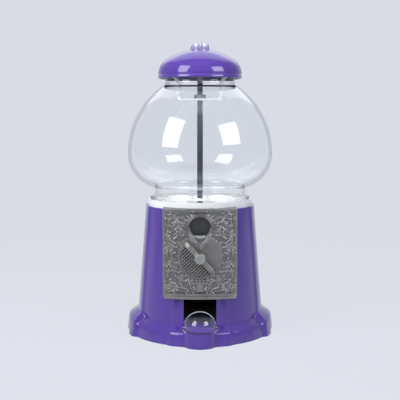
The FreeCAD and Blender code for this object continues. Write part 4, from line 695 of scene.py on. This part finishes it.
# copies of CAD nodes: edge is the rounding of hard edges in mm; the handle is remeshed on a fine grid instead
castPieces = {
    "base_body": {"edge": 0.55, "finish": "violetEnamel", "body": "machine", "slot": "violet_enamel"},
    "handle": {"voxel": 0.45, "melt": 0.5, "passes": 30,
               "finish": "pewter", "body": "turning_handle", "slot": "pewter"},
    "handle_cap": {"edge": 0.5, "finish": "capPewter", "body": "turning_handle", "slot": "pewter"},
    "lid_knob": {"edge": 0.5, "finish": "knobPaleLit", "body": "knob", "slot": "violet_enamel"},
    "clamp_nut": {"edge": 0.4, "finish": "capPewter", "body": "machine", "slot": "rod_steel"},
}
castRule = {"flatDeg": 0.5, "hardDeg": 35.0}


def makeCast(node, s):
    # a welded copy of a CAD node with flat faces joined, then bevelled along its hard edges or melted soft
    made = bmesh.new()
    made.from_mesh(nodes[node].data)
    flat, hardest = math.radians(castRule["flatDeg"]), math.radians(castRule["hardDeg"])
    bmesh.ops.remove_doubles(made, verts=made.verts, dist=weldReach)
    bmesh.ops.dissolve_limit(made, angle_limit=flat, verts=made.verts, edges=made.edges)
    hard = np.array([edge.calc_face_angle(0.0) > hardest for edge in made.edges], np.float32)
    data = bpy.data.meshes.new(node + "Cast")
    made.to_mesh(data)
    made.free()
    data.polygons.foreach_set("use_smooth", np.ones(len(data.polygons), bool))
    piece = bpy.data.objects.new(node + "Cast", data)
    bpy.context.scene.collection.objects.link(piece)
    if "voxel" in s:
        grid = piece.modifiers.new("grid", "REMESH")
        grid.mode, grid.voxel_size, grid.use_smooth_shade = "VOXEL", s["voxel"] * mm, True
        melt = piece.modifiers.new("melt", "SMOOTH")
        melt.factor, melt.iterations = s["melt"], s["passes"]
    else:
        data.attributes.new("bevel_weight_edge", "FLOAT", "EDGE").data.foreach_set("value", hard)
        addBevel(piece, s["edge"], "WEIGHT")
    finishPiece(piece, s["finish"], s["body"], s["slot"], node)


trayShape = {
    "half": 19.6, "front": -81.6, "frontZ": 16.56, "tongueSlope": 0.40, "stepY": -76.7, "stepZ": 20.45,
    "floorSlope": 0.3842, "back": -65.5, "float": 0.14, "hook": 2.4, "hookR": 1.0, "hookIn": 0.2,
    "hookDeg": (185, 112), "sheet": 0.08, "columns": 25, "hookRows": 8, "tongueRows": 6, "floorRows": 30,
}


def makeTray(s):
    # a strip along Y: rolled front edge, the sloping tongue, a step and the sloping floor, carried across X
    start, startZ, stepZ = s["front"] + s["hookIn"], s["frontZ"] + s["float"], s["stepZ"] + s["float"]
    roll = arcPoints((start, startZ - s["hookR"]), s["hookR"], *s["hookDeg"], s["hookRows"])
    tongueY = np.linspace(start, s["stepY"], s["tongueRows"])
    floorY = np.linspace(s["stepY"], s["back"], s["floorRows"])
    tongue = np.stack([tongueY, startZ + s["tongueSlope"] * (tongueY - s["front"])], -1)
    floor = np.stack([floorY, stepZ + s["floorSlope"] * (floorY - s["stepY"])], -1)
    line = np.concatenate([roll[:1] - (0, s["hook"]), roll, tongue, floor])
    x = np.linspace(-s["half"], s["half"], s["columns"])
    piece = meshPiece("outletTray", spread(x, line[:, :1], line[:, 1:]) * mm, gridFaces(len(line), len(x)))
    addSheet(piece, s["sheet"])
    finishPiece(piece, "violetEnamel", "machine", "violet_enamel")


# stations of one half of the strap: inner (x, z) and outer (x, z), from the bar up the arm to the hooked end
strapShape = {
    "inner": ((23.7, 309.5), (28.6, 337.8), (38.4, 347.5), (38.4, 352.5), (44.2, 352.5)),
    "outer": ((28.9, 307.0), (33.6, 337.8), (40.9, 345.0), (40.9, 350.0), (44.2, 350.0)),
    "halfWide": 7.0, "round": 0.5,
}


def makeStrap(s):
    # a four-cornered section carried from hook to hook, corners on the inner and outer lines, front and back
    side = np.array([s["inner"], s["outer"]])
    line = np.concatenate([side[:, ::-1] * (-1, 1), side], 1)
    front, back = (spread(line[..., 0], y, line[..., 1]) for y in (-s["halfWide"], s["halfWide"]))
    points = np.stack([front[0], front[1], back[1], back[0]], 1) * mm
    rows, corners = points.shape[:2]
    section = np.arange(corners)
    caps = np.stack([section[::-1], (rows - 1) * corners + section])
    piece = meshPiece("clampStrap", points, np.concatenate([gridFaces(rows, corners, False, True), caps]))
    addBevel(piece, s["round"], "ANGLE")
    finishPiece(piece, "strapLitWhite", "machine", "white_plastic", "globe_clamp")


highlightShape = {
    "windowR": 13.72, "coinZ": 148.5, "topZ": 138.8, "front": -82.6, "lean": 1.4, "sheet": 0.8, "reach": 0.97,
    "columns": 41, "rows": 9,
}


def makeWindowHighlight(s):
    # painted highlight: a pale steel sheet standing for the lit lower wall of the window, between the
    # window's lower arc and a level top edge, leaning back as it rises
    half = s["reach"] * math.sqrt(s["windowR"] ** 2 - (s["coinZ"] - s["topZ"]) ** 2)
    x, t = np.meshgrid(np.linspace(-half, half, s["columns"]), np.linspace(0, 1, s["rows"]))
    arc = s["coinZ"] - np.sqrt(s["windowR"] ** 2 - x ** 2)
    z = arc + t * (s["topZ"] - arc)
    y = s["front"] + s["lean"] * (z - arc.min()) / (s["topZ"] - arc.min())
    piece = meshPiece("windowHighlight", np.stack([x, y, z], -1) * mm, gridFaces(s["rows"], s["columns"]))
    addSheet(piece, s["sheet"])
    finishPiece(piece, "zincSteel", "machine", "zinc_steel")


makeTray(trayShape)
makeWindowHighlight(highlightShape)
makeStrap(strapShape)
for node, settings in castPieces.items():
    makeCast(node, settings)
makePlateRelief(plateShape, ornament)
makeFanHatch(fanShape)
print("stage: tray, coin rest, strap, castings and relief")
